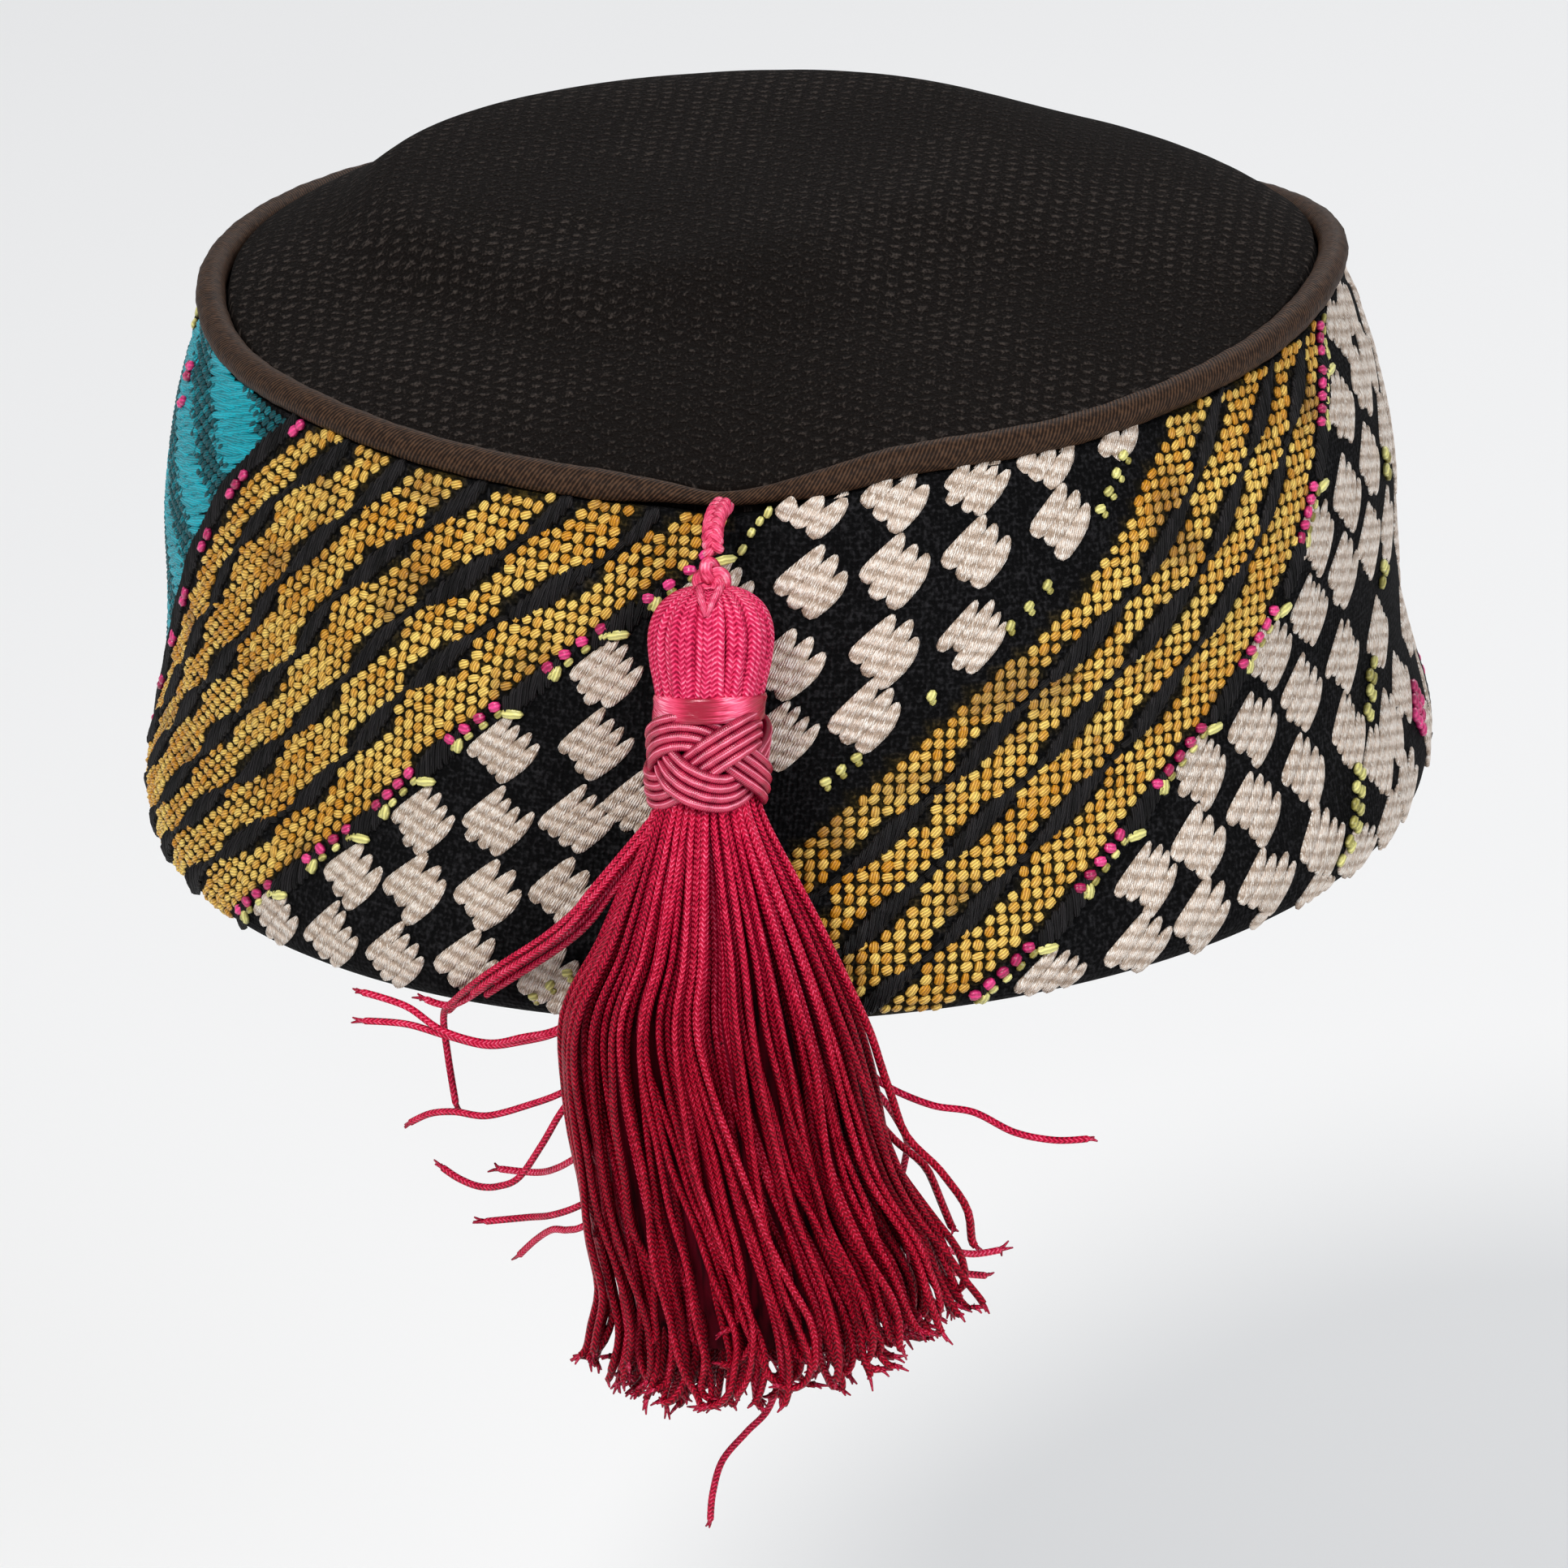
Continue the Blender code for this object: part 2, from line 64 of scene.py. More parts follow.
# %% Camera
LOOK_AT = Vector((-1.021, 0.0, 0.666)) * MM
CAMERA_AWAY, LENS, SENSOR = 2.2, 342.18, 36.0  # metres, then the lens and the sensor in millimetres
AZIMUTH, ELEVATION, ROLL = (math.radians(x) for x in (5.162, 19.304, 2.273))
back = Vector((math.sin(AZIMUTH) * math.cos(ELEVATION), -math.cos(AZIMUTH) * math.cos(ELEVATION), math.sin(ELEVATION)))
right = Vector((math.cos(AZIMUTH), math.sin(AZIMUTH), 0.0))
up = back.cross(right)
turned_right = math.cos(ROLL) * right - math.sin(ROLL) * up
turned_up = math.sin(ROLL) * right + math.cos(ROLL) * up
camera = new_object("camera", bpy.data.cameras.new("camera"))
camera.data.lens, camera.data.sensor_width = LENS, SENSOR
camera.data.clip_start, camera.data.clip_end = 0.1, 50.0
placing = Matrix((turned_right, turned_up, back)).transposed().to_4x4()
placing.translation = LOOK_AT + CAMERA_AWAY * back
camera.matrix_world = placing
bpy.context.scene.camera = camera
bpy.context.scene.view_settings.view_transform = "Standard"
print("the camera stands", round((camera.location - LOOK_AT).length, 2), "m away")

# %% Lamps and the light all round
LAMPS_LOOK_AT = Vector((0, -0.02, 0.02))
LAMPS = (  # name, place, size, power, colour
    ("key_lamp", (-0.48, -1.05, 1.2), 0.4, 15.5, (1.0, 0.97, 0.93)),
    ("side_lamp", (1.0, -0.95, 0.75), 0.6, 8.5, (0.97, 0.98, 1.0)),
    ("back_lamp", (0.3, 1.3, 1.2), 0.8, 8.0, (1, 1, 1)),
)
for name, place, size, power, colour in LAMPS:
    light = bpy.data.lights.new(name, "AREA")
    light.shape, light.size, light.energy, light.color = "DISK", size, power, colour
    lamp = new_object(name, light)
    lamp.location = place
    lamp.rotation_euler = (LAMPS_LOOK_AT - Vector(place)).to_track_quat("-Z", "Y").to_euler()
world = bpy.data.worlds.new("studio")
world.use_nodes = True
background = world.node_tree.nodes["Background"]
background.inputs["Color"].default_value = (0.95, 0.97, 1.0, 1.0)
background.inputs["Strength"].default_value = 0.52
bpy.context.scene.world = world

# %% [markdown]
# ## Shader words
# A finish is a material whose node tree is written as sums. `Number` wraps a socket, so `1 - mask * 0.5`
# adds the Math nodes for it. Colours are mixed by Mix nodes, because a Math node would turn them grey.


# %% Number: a value on its way through a shader
class Number:
    def __init__(self, finish, socket):
        self.finish, self.socket = finish, socket

    def maths(self, operation, *values):
        made = self.finish.node("Math", {"operation": operation}, dict(enumerate(values)))
        return Number(self.finish, made.outputs[0])

    def __add__(self, other):
        return self.maths("ADD", self, other)

    def __sub__(self, other):
        return self.maths("SUBTRACT", self, other)

    def __rsub__(self, other):
        return self.maths("SUBTRACT", other, self)

    def __mul__(self, other):
        return self.maths("MULTIPLY", self, other)

    def __truediv__(self, other):
        return self.maths("DIVIDE", self, other)

    def __pow__(self, other):
        return self.maths("POWER", self, other)

    def __abs__(self):
        return self.maths("ABSOLUTE", self)

    __radd__, __rmul__ = __add__, __mul__

    def sine(self):
        return self.maths("SINE", self)

    def wave(self):
        """A sine that comes round again each time the number grows by one."""
        return (self * (2 * math.pi)).sine()

    def ease(self, low, high):
        """0 below low, 1 above high, and smooth between."""
        made = self.finish.node("MapRange", {"interpolation_type": "SMOOTHSTEP"}, {0: self, 1: low, 2: high})
        return Number(self.finish, made.outputs[0])


# %% Finish: a material and the few ways to build it
class Finish:
    def __init__(self, name, roughness, **plain):
        self.material = bpy.data.materials.new(name)
        self.material.use_nodes = True
        self.tree = self.material.node_tree
        self.shader = self.tree.nodes["Principled BSDF"]
        self.shader.inputs["Roughness"].default_value = roughness
        for key, value in plain.items():
            self.shader.inputs[key.replace("_", " ").title().replace("Ior", "IOR")].default_value = value

    def node(self, kind, settings=None, sockets=None):
        made = self.tree.nodes.new("ShaderNode" + kind)
        for key, value in (settings or {}).items():
            if key == "stops":
                ramp = made.color_ramp
                for i, (place, colour) in enumerate(value):
                    stop = ramp.elements[i] if i < len(ramp.elements) else ramp.elements.new(place)
                    stop.position, stop.color = place, (*colour, 1.0)
            else:
                setattr(made, key, value)
        for key, value in (sockets or {}).items():
            if isinstance(value, (Number, bpy.types.NodeSocket)):
                self.tree.links.new(getattr(value, "socket", value), made.inputs[key])
            else:
                made.inputs[key].default_value = value
        return made

    def attribute(self, name):
        return Number(self, self.node("Attribute", {"attribute_name": name}).outputs["Fac"])

    def parts(self, socket):
        return [Number(self, out) for out in self.node("SeparateXYZ", None, {0: socket}).outputs]

    def attribute_parts(self, name):
        return self.parts(self.node("Attribute", {"attribute_name": name}).outputs["Vector"])

    def cord_place(self):
        """How far along a cord a point lies, and how far its side of the cord looks to the front and aside."""
        front, side, _ = self.attribute_parts("girth")
        return self.attribute("way"), front, side

    def place(self):
        return self.node("TexCoord").outputs["Object"]

    def cloth_place(self):
        """How far along and up the cloth a point lies, in millimetres, from the piece's own UV map."""
        x, y, _ = self.parts(self.node("UVMap", {"uv_map": "cloth"}).outputs[0])
        return x * CLOTH_UNIT, y * CLOTH_UNIT

    def vector(self, x, y, z):
        return self.node("CombineXYZ", None, {0: x, 1: y, 2: z}).outputs[0]

    def noise(self, vector, scale, detail=2.0):
        made = self.node("TexNoise", None, {"Vector": vector, "Scale": scale, "Detail": detail})
        return Number(self, made.outputs["Fac"])

    def mix(self, share, first, second):
        first = (*first, 1.0) if isinstance(first, tuple) else first
        second = (*second, 1.0) if isinstance(second, tuple) else second
        return self.node("Mix", {"data_type": "RGBA"}, {0: share, 6: first, 7: second}).outputs[2]

    def shaded(self, colour, factor):
        """A colour made darker or lighter by a number."""
        return self.node("VectorMath", {"operation": "SCALE"}, {0: colour, "Scale": factor}).outputs[0]

    def ramp(self, value, places, colours):
        return self.node("ValToRGB", {"stops": list(zip(places, colours))}, {0: value}).outputs[0]

    def colour(self, socket):
        self.tree.links.new(socket, self.shader.inputs["Base Color"])

    def relief(self, height, depth_mm):
        """Fine relief, as a height from 0 to 1 and how deep that is."""
        bump = self.node("Bump", None, {"Height": height, "Distance": depth_mm * MM, "Strength": 1.0})
        self.tree.links.new(bump.outputs[0], self.shader.inputs["Normal"])


def paint(r, g, b):
    """A colour as it looks on a screen, from 0 to 255, as the light that a shader needs."""
    return tuple(round((x / 255 / 12.92) if x <= 10 else ((x / 255 + 0.055) / 1.055) ** 2.4, 4) for x in (r, g, b))


# %% The floor
FLOOR_CORNERS, FLOOR_HEIGHT = ((-4, -2.5), (4, -2.5), (4, 5), (-4, 5)), -0.2  # metres
floor = new_object("floor", bpy.data.meshes.new("floor"))
floor.data.from_pydata([(x, y, FLOOR_HEIGHT) for x, y in FLOOR_CORNERS], [], [(0, 1, 2, 3)])
pale = Finish("pale_floor", 0.9)
pale.colour(pale.mix(pale.noise(pale.place(), 3.0), (0.86, 0.86, 0.86), (0.89, 0.89, 0.89)))
floor.data.materials.append(pale.material)

# %% [markdown]
# ## The cap's form
# The cap is an oval that changes from the hem to the seam. These tables are the ones that the solids are
# made from, so a piece made here lies exactly where its solid does. Places on the band are given as on the
# flat cloth: `u` is the way round it from the front, to the right, and `v` is the height.

# %% Sizes of the band, the seam and the crown
DEPTH_SHARE, SEAM_SHIFT_BACK, MEAN_SEAM_HEIGHT = 1.10, 2.85, 77.5
BAND_PROFILE = ((0.0, 90.6), (1.0, 92.2), (3.0, 93.6), (8.0, 94.2), (16.0, 92.5), (24.0, 90.8), (36.0, 90.0),
                (48.0, 89.8), (60.0, 87.8), (69.0, 85.2), (75.2, 83.2))  # (height, half width)
BAND_TOP = BAND_PROFILE[-1][0]
BAND_WALL, HEM_WALL, HEM_TURN_UP, HEM_FOLD, HEM_STEP = 2.4, 3.2, 13.0, 0.9, 1.5
SEAM_HALF_WIDTH = 81.9
SEAM_HEIGHTS = ((-180, 69.0), (-135, 76.5), (-90, 80.2), (-66, 78.8), (-48, 78.6), (-30, 77.1), (-16, 75.9),
                (-7, 74.9), (0, 73.6), (8, 75.1), (18, 77.8), (36, 77.9), (60, 79.3), (90, 80.2), (135, 72.5),
                (180, 69.0))  # (turn, height)
BAND_DENTS = ((-22, 58, 16, 9, 1.6), (-52, 50, 18, 14, 1.0), (38, 44, 20, 16, 0.9), (150, 40, 30, 16, 1.4),
              (-140, 44, 26, 16, 1.2))  # (turn, height, reach in turn, reach in height, depth)


# %% Curves through tables, and places on the oval
def smooth_value(rows, x):
    """The value at x of a smooth curve through rows of (x, value)."""
    rows = np.asarray(rows, float)
    xs, ys = rows[:, 0], rows[:, 1]
    slope = np.zeros(len(xs))
    slope[1:-1] = (ys[2:] - ys[:-2]) / (xs[2:] - xs[:-2])
    x = np.clip(np.asarray(x, float), xs[0], xs[-1])
    i = np.clip(np.searchsorted(xs, x, side="right") - 1, 0, len(xs) - 2)
    step = xs[i + 1] - xs[i]
    t = (x - xs[i]) / step
    return ((2 * t**3 - 3 * t**2 + 1) * ys[i] + (t**3 - 2 * t**2 + t) * step * slope[i]
            + (3 * t**2 - 2 * t**3) * ys[i + 1] + (t**3 - t**2) * step * slope[i + 1])


def curve_through(points, t):
    """A smooth curve through points, where t counts the points from nought."""
    points = np.asarray(points, float)
    return np.stack([smooth_value(list(enumerate(points[:, axis])), t) for axis in range(3)], -1)


def ease(t):
    t = np.clip(t, 0.0, 1.0)
    return t * t * (3 - 2 * t)


def circle(count):
    """Angles spaced evenly all the way round, in radians."""
    return 2 * math.pi * np.arange(count) / count


def on_oval(turn, half_width, height):
    t = np.radians(turn)
    half_width, height = np.broadcast_arrays(half_width, height)
    shift = SEAM_SHIFT_BACK * np.clip(height / MEAN_SEAM_HEIGHT, 0, 1)
    x, y = half_width * np.sin(t), shift - DEPTH_SHARE * half_width * np.cos(t)
    return np.stack(np.broadcast_arrays(x, y, height), -1)


def seam_height(turn):
    return smooth_value(SEAM_HEIGHTS, turn)


def band_outside(turn, height):
    dents = 0.0
    for at_turn, at_height, reach_turn, reach_height, deepest in BAND_DENTS:
        away = ((turn - at_turn) / reach_turn) ** 2, ((height - at_height) / reach_height) ** 2
        dents = dents + deepest * np.exp(-away[0] - away[1])
    return smooth_value(BAND_PROFILE, height * MEAN_SEAM_HEIGHT / seam_height(turn)) - dents


def band_inside(turn, height):
    return band_outside(turn, height) - HEM_WALL - (BAND_WALL - HEM_WALL) * ease((height - HEM_TURN_UP) / HEM_STEP)


# %% Cloth places on the band
TURNS = np.linspace(-180, 180, 3601)
CLOTH_HALF_WIDTH, CLOTH_HALF_DEPTH = 90, 99  # of the oval on which the cloth's length is measured
pace = np.hypot(CLOTH_HALF_WIDTH * np.cos(np.radians(TURNS)), CLOTH_HALF_DEPTH * np.sin(np.radians(TURNS)))
ARC = np.concatenate([[0], np.cumsum((pace[1:] + pace[:-1]) / 2 * np.radians(TURNS[1] - TURNS[0]))])
ROUND = ARC[-1]  # the cloth's length round the cap
ARC = ARC - ROUND / 2


def turn_at(u):
    return np.interp((np.asarray(u) + ROUND / 2) % ROUND - ROUND / 2, ARC, TURNS)


def along_at(turn):
    return np.interp(turn, TURNS, ARC)


def on_band(u, v):
    turn = turn_at(u)
    return on_oval(turn, band_outside(turn, v), v)


def unit(vectors):
    return vectors / np.linalg.norm(vectors, axis=-1, keepdims=True)


def band_frame(u, v):
    """The directions along, up and out of the cloth at places on the band."""
    along = unit(on_band(u + 0.5, v) - on_band(u - 0.5, v))
    upward = unit(on_band(u, v + 0.5) - on_band(u, v - 0.5))
    return along, upward, unit(np.cross(along, upward))


print("the band's cloth is", round(ROUND, 1), "mm round")


# %% Making meshes and finishing the pieces
def pairs(first, second):
    """Every pairing of two ranges, as two long lists."""
    return (a.ravel() for a in np.meshgrid(first, second, indexing="ij"))


def skin(name, rings, around=True, along=True, places=None, poles=None):
    """A mesh over rings of points, closed round each ring, from the last to the first, or by two poles."""
    rings = np.asarray(rings, float)
    n, m = rings.shape[:2]
    i, j = pairs(np.arange(n if along else n - 1), np.arange(m if around else m - 1))
    i2, j2 = (i + 1) % n, (j + 1) % m
    faces = np.stack([i * m + j, i * m + j2, i2 * m + j2, i2 * m + j], 1).tolist()
    points = rings.reshape(-1, 3).tolist()
    for pole, k in zip(poles or (), (0, m - 1)):
        points.append(list(pole))
        faces += [(len(points) - 1, a * m + k, (a + 1) % n * m + k) for a in range(n)]
    if not (along or poles):
        faces += [tuple(range(m)), tuple(range((n - 1) * m, n * m))]
    mesh = bpy.data.meshes.new(name)
    mesh.from_pydata((np.array(points) * MM).tolist(), [], faces)
    if places is not None:
        places = np.asarray(places, float)
        corners = np.stack([places[i, j], places[i, j + 1], places[i + 1, j + 1], places[i + 1, j]], 1)
        layer = mesh.uv_layers.new(name="cloth")
        layer.data.foreach_set("uv", (corners / CLOTH_UNIT).ravel())
    return outward(mesh)


def outward(mesh):
    bm = bmesh.new()
    bm.from_mesh(mesh)
    bmesh.ops.recalc_face_normals(bm, faces=bm.faces)
    bm.to_mesh(mesh)
    bm.free()
    mesh.shade_smooth()
    return mesh


def hand_in(name, mesh, finish, slot, *nodes):
    """The finished piece: its finish, its body, and the solids that it stands for. The slot is not used."""
    mesh.name = name
    mesh.materials.clear()
    mesh.materials.append(finish.material)
    made = new_object(name, mesh)
    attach(made, "root")
    if nodes:
        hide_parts(*nodes)
    mesh.calc_loop_triangles()
    print(f"{name}: {len(mesh.loop_triangles)} triangles")
    return made


# %% [markdown]
# ## Two Geometry Nodes trees
# Woven yarn shows on a brocade as short raised floats, thousands of them, so a tree sets a small float on
# each point of the chart: `along`, `out` and `size` on the point turn and stretch it. A second tree lays a
# round cord on each drawn line, with the cord's face turned outward, which makes every cord of the tassel.


# %% A small kit for the trees
def new_tree(name, inputs):
    tree = bpy.data.node_groups.new(name, "GeometryNodeTree")
    tree.interface.new_socket("Geometry", in_out="INPUT", socket_type="NodeSocketGeometry")
    for label, kind, value in inputs:
        socket = tree.interface.new_socket(label, in_out="INPUT", socket_type="NodeSocket" + kind)
        if value is not None:
            socket.default_value = value
    tree.interface.new_socket("Geometry", in_out="OUTPUT", socket_type="NodeSocketGeometry")
    return tree


def add(tree, kind, settings=None, **sockets):
    made = tree.nodes.new(kind)
    for key, value in (settings or {}).items():
        setattr(made, key, value)
    for key, value in sockets.items():
        target = made.inputs[int(key[1:])] if key[0] == "_" else made.inputs[key.replace("_", " ")]
        if isinstance(value, bpy.types.NodeSocket):
            tree.links.new(value, target)
        else:
            target.default_value = value
    return made


def named(tree, name, kind="FLOAT"):
    return add(tree, "GeometryNodeInputNamedAttribute", {"data_type": kind}, Name=name).outputs[0]


def store(tree, geometry, name, value, kind="FLOAT_VECTOR"):
    """The geometry with a value kept under a name on each of its points."""
    return add(tree, "GeometryNodeStoreNamedAttribute", {"data_type": kind, "domain": "POINT"},
               Geometry=geometry, Name=name, Value=value).outputs[0]


def close_tree(tree, given, geometry):
    """The end of each tree: the finish is set, and the geometry goes out."""
    finished = add(tree, "GeometryNodeSetMaterial", None, Geometry=geometry, Material=given.outputs["Finish"])
    tree.links.new(finished.outputs[0], tree.nodes.new("NodeGroupOutput").inputs[0])
    return tree


def run_tree(name, mesh, tree, **inputs):
    """Runs a tree on a mesh and returns what it made, as a plain mesh."""
    carrier = new_object(name, mesh)
    modifier = carrier.modifiers.new(tree.name, "NODES")
    modifier.node_group = tree
    for item in tree.interface.items_tree:
        if item.in_out == "INPUT" and item.name.lower() in inputs:
            modifier[item.identifier] = inputs[item.name.lower()]
    bpy.context.view_layer.update()
    made = bpy.data.meshes.new_from_object(carrier.evaluated_get(bpy.context.evaluated_depsgraph_get()))
    carrier.modifiers.remove(modifier)
    bpy.data.objects.remove(carrier)
    return made


def keep_on_points(mesh, name, values):
    values = np.asarray(values, np.float32)
    kind, field = ("FLOAT", "value") if values.ndim == 1 else ("FLOAT_VECTOR", "vector")
    mesh.attributes.new(name, kind, "POINT").data.foreach_set(field, values.ravel())


def points_mesh(name, points, edges=(), **attributes):
    mesh = bpy.data.meshes.new(name)
    mesh.from_pydata((np.asarray(points) * MM).tolist(), list(edges), [])
    for key, values in attributes.items():
        keep_on_points(mesh, key, values)
    return mesh


# %% The tree of floats
def build_float_tree():
    tree = new_tree("woven_floats", [("Float", "Object", None), ("Finish", "Material", None),
                                     ("Fullness", "Float", 1.0), ("Sway", "Float", 0.1), ("Seed", "Int", 3)])
    given = tree.nodes.new("NodeGroupInput")
    sway, size = given.outputs["Sway"], named(tree, "size", "FLOAT_VECTOR")
    upright = add(tree, "FunctionNodeAlignRotationToVector", {"axis": "Z"}, Vector=named(tree, "out", "FLOAT_VECTOR"))
    laid = add(tree, "FunctionNodeAlignRotationToVector", {"axis": "X", "pivot_axis": "Z"},
               Rotation=upright.outputs[0], Vector=named(tree, "along", "FLOAT_VECTOR"))
    low = add(tree, "ShaderNodeMath", {"operation": "MULTIPLY"}, _0=sway, _1=-1.0)
    any_turn = add(tree, "FunctionNodeRandomValue", {"data_type": "FLOAT"},
                   _2=low.outputs[0], _3=sway, _8=given.outputs["Seed"])
    swung = add(tree, "FunctionNodeAxisAngleToRotation", None, Angle=any_turn.outputs[1])
    turned = add(tree, "FunctionNodeRotateRotation", {"rotation_space": "LOCAL"},
                 _0=laid.outputs[0], _1=swung.outputs[0])
    full = add(tree, "ShaderNodeVectorMath", {"operation": "SCALE"}, _0=size, Scale=given.outputs["Fullness"])
    shape = add(tree, "GeometryNodeObjectInfo", None, Object=given.outputs["Float"])
    set_out = add(tree, "GeometryNodeInstanceOnPoints", None, Points=given.outputs["Geometry"],
                  Instance=shape.outputs["Geometry"], Rotation=turned.outputs[0], Scale=full.outputs[0])
    real = add(tree, "GeometryNodeRealizeInstances", None, Geometry=set_out.outputs[0])
    thread = add(tree, "ShaderNodeVectorMath", {"operation": "MULTIPLY"},
                 _0=named(tree, "grain", "FLOAT_VECTOR"), _1=size)
    return close_tree(tree, given, store(tree, real.outputs[0], "thread", thread.outputs[0]))


# %% The tree of cords
def build_cord_tree():
    tree = new_tree("laid_cords", [("Finish", "Material", None), ("Sides", "Int", 6), ("Fullness", "Float", 1.0)])
    given = tree.nodes.new("NodeGroupInput")
    line = add(tree, "GeometryNodeMeshToCurve", None, Mesh=given.outputs["Geometry"])
    thick = add(tree, "ShaderNodeMath", {"operation": "MULTIPLY"},
                _0=named(tree, "thick"), _1=given.outputs["Fullness"])
    faced = add(tree, "GeometryNodeSetCurveNormal", {"mode": "FREE"},
                Curve=line.outputs[0], Normal=named(tree, "facing", "FLOAT_VECTOR"))
    length = add(tree, "GeometryNodeSplineParameter").outputs["Length"]
    ring = add(tree, "GeometryNodeCurvePrimitiveCircle", None, Resolution=given.outputs["Sides"], Radius=1.0)
    side = add(tree, "GeometryNodeInputPosition").outputs[0]
    cord = add(tree, "GeometryNodeCurveToMesh", None, Curve=store(tree, faced.outputs[0], "way", length, "FLOAT"),
               Profile_Curve=store(tree, ring.outputs[0], "girth", side), Scale=thick.outputs[0], Fill_Caps=True)
    real = add(tree, "GeometryNodeRealizeInstances", None, Geometry=cord.outputs[0])
    return close_tree(tree, given, real.outputs[0])


FLOAT_TREE, CORD_TREE = build_float_tree(), build_cord_tree()


# %% One float, and how floats and cords are laid
UNDERSIDE = 0.6  # a float is flatter below than above


def float_shape(name, sides, rings, blunt_start, blunt_end, square=1.0, hook=0.0):
    """A float from -1 to 1 along x, round or squarer above, with blunt or pointed ends and a hooked tip."""
    a = 2 * math.pi * (np.arange(sides) + 0.5) / sides
    wide, high = (np.sign(part) * np.abs(part) ** square for part in (np.cos(a), np.sin(a)))
    flatter = np.where(high < 0, UNDERSIDE, 1)
    rows = []
    for x in np.cos(np.linspace(math.pi, 0, rings + 2))[1:-1]:
        radius = (1 - abs(x) ** (blunt_start if x < 0 else blunt_end)) ** 0.5
        aside = radius * wide + hook * max(0.0, x) ** 2
        rows.append(np.stack([np.full(sides, x), aside, radius**0.6 * high * flatter], -1))
    rows = np.array(rows).transpose(1, 0, 2)  # sides as spokes between two poles
    mesh = skin(name, rows / MM, around=False, along=True, poles=((-1 / MM, 0, 0), (1 / MM, hook / MM, 0)))
    keep_on_points(mesh, "grain", [v.co for v in mesh.vertices])
    made = new_object(name, mesh)
    made.hide_render = True
    return made


def lay_floats(name, shape, finish, rows, sink, sway=0.1):
    """Sets a float on each row of (u, v, angle, half length, half width, half height, tone)."""
    rows = np.asarray(rows, float)
    u, v, angle = rows[:, 0], rows[:, 1], np.radians(rows[:, 2])[:, None]
    along, upward, out = band_frame(u, v)
    mesh = points_mesh(name, on_band(u, v) - sink * out, along=np.cos(angle) * along + np.sin(angle) * upward,
                       out=out, size=rows[:, 3:6] * MM, tone=rows[:, 6])
    made = run_tree(name, mesh, FLOAT_TREE, float=shape, finish=finish.material, sway=sway)
    made.shade_smooth()
    return hand_in(name, made, finish, "brocade")


def lay_cords(name, routes, finish, slot, *nodes, sides=6, closed=False, middle_line=None):
    """Lays a round cord on each route, given as points and a radius. Its face looks away from the middle line."""
    points, edges, thick, tone, facing = [], [], [], [], []
    for route, radius in routes:
        first, count = len(points), len(route)
        points += [list(p) for p in route]
        way = unit(np.roll(route, -1, 0) - np.roll(route, 1, 0)) if closed else unit(np.gradient(route, axis=0))
        look = route - middle_line(route) if middle_line else np.array((0.0, -1.0, 0.3)) + 0 * route
        facing += unit(look - np.sum(look * way, axis=1, keepdims=True) * way).tolist()
        edges += [(first + i, first + i + 1) for i in range(count - 1)]
        edges += [(first + count - 1, first)] if closed else []
        thick += list(np.broadcast_to(radius, count) * MM)
        tone += [chance.random()] * count
    mesh = points_mesh(name, points, edges, thick=thick, tone=tone, facing=facing)
    made = run_tree(name, mesh, CORD_TREE, finish=finish.material, sides=sides)
    return hand_in(name, outward(made), finish, slot, *nodes)


# %% [markdown]
# ## The band's cloth
# The ground of the brocade is black, slightly hairy, with a fine even weave. It is one closed strip, turned
# up at the hem and sewn into the seam, so it is skinned from sections of the band's table, close together.
# The weave follows the cloth by the strip's own UV map, in millimetres.


# %% Black ground finish
WEAVE_COS, WEAVE_SIN = 0.766, 0.643  # the weave is turned by 40 degrees
WEAVE_PITCH = (0.55, 0.5)  # the width of a thread, in the weave's two directions


def black_ground():
    finish = Finish("black_ground", 0.95, specular_ior_level=0.08)
    along, height = finish.cloth_place()
    slant, climb = along * WEAVE_COS + height * WEAVE_SIN, height * WEAVE_COS - along * WEAVE_SIN
    weave = (slant * (math.pi / WEAVE_PITCH[0])).sine() * (climb * (math.pi / WEAVE_PITCH[1])).sine()
    fuzz = finish.noise(finish.place(), 1500.0, 5.0)
    patch = finish.noise(finish.place(), 160.0)
    finish.relief(weave * 0.3 + fuzz * 1.4, 0.4)
    share = (fuzz * 1.3 + weave * 0.07 + patch * 0.2 - 0.35).ease(0.3, 0.8)
    black = finish.mix(share, (0.0016, 0.0016, 0.0019), (0.021, 0.0205, 0.0225))
    olive = finish.mix(share, paint(22, 19, 8), paint(78, 64, 28))
    finish.colour(finish.mix(finish.attribute("gold"), black, olive))
    return finish


# %% The strip
HEM_SAG, HEM_SHARES = 0.42, (0.15, 0.35, 0.65, 0.85)  # points under the hem, from its outside inward
HEM_UPS, TURNED_UP = (-0.5, -1.1, -2.1, -2.7), -3.6  # how far up the flat cloth they lie, and the inner side's start


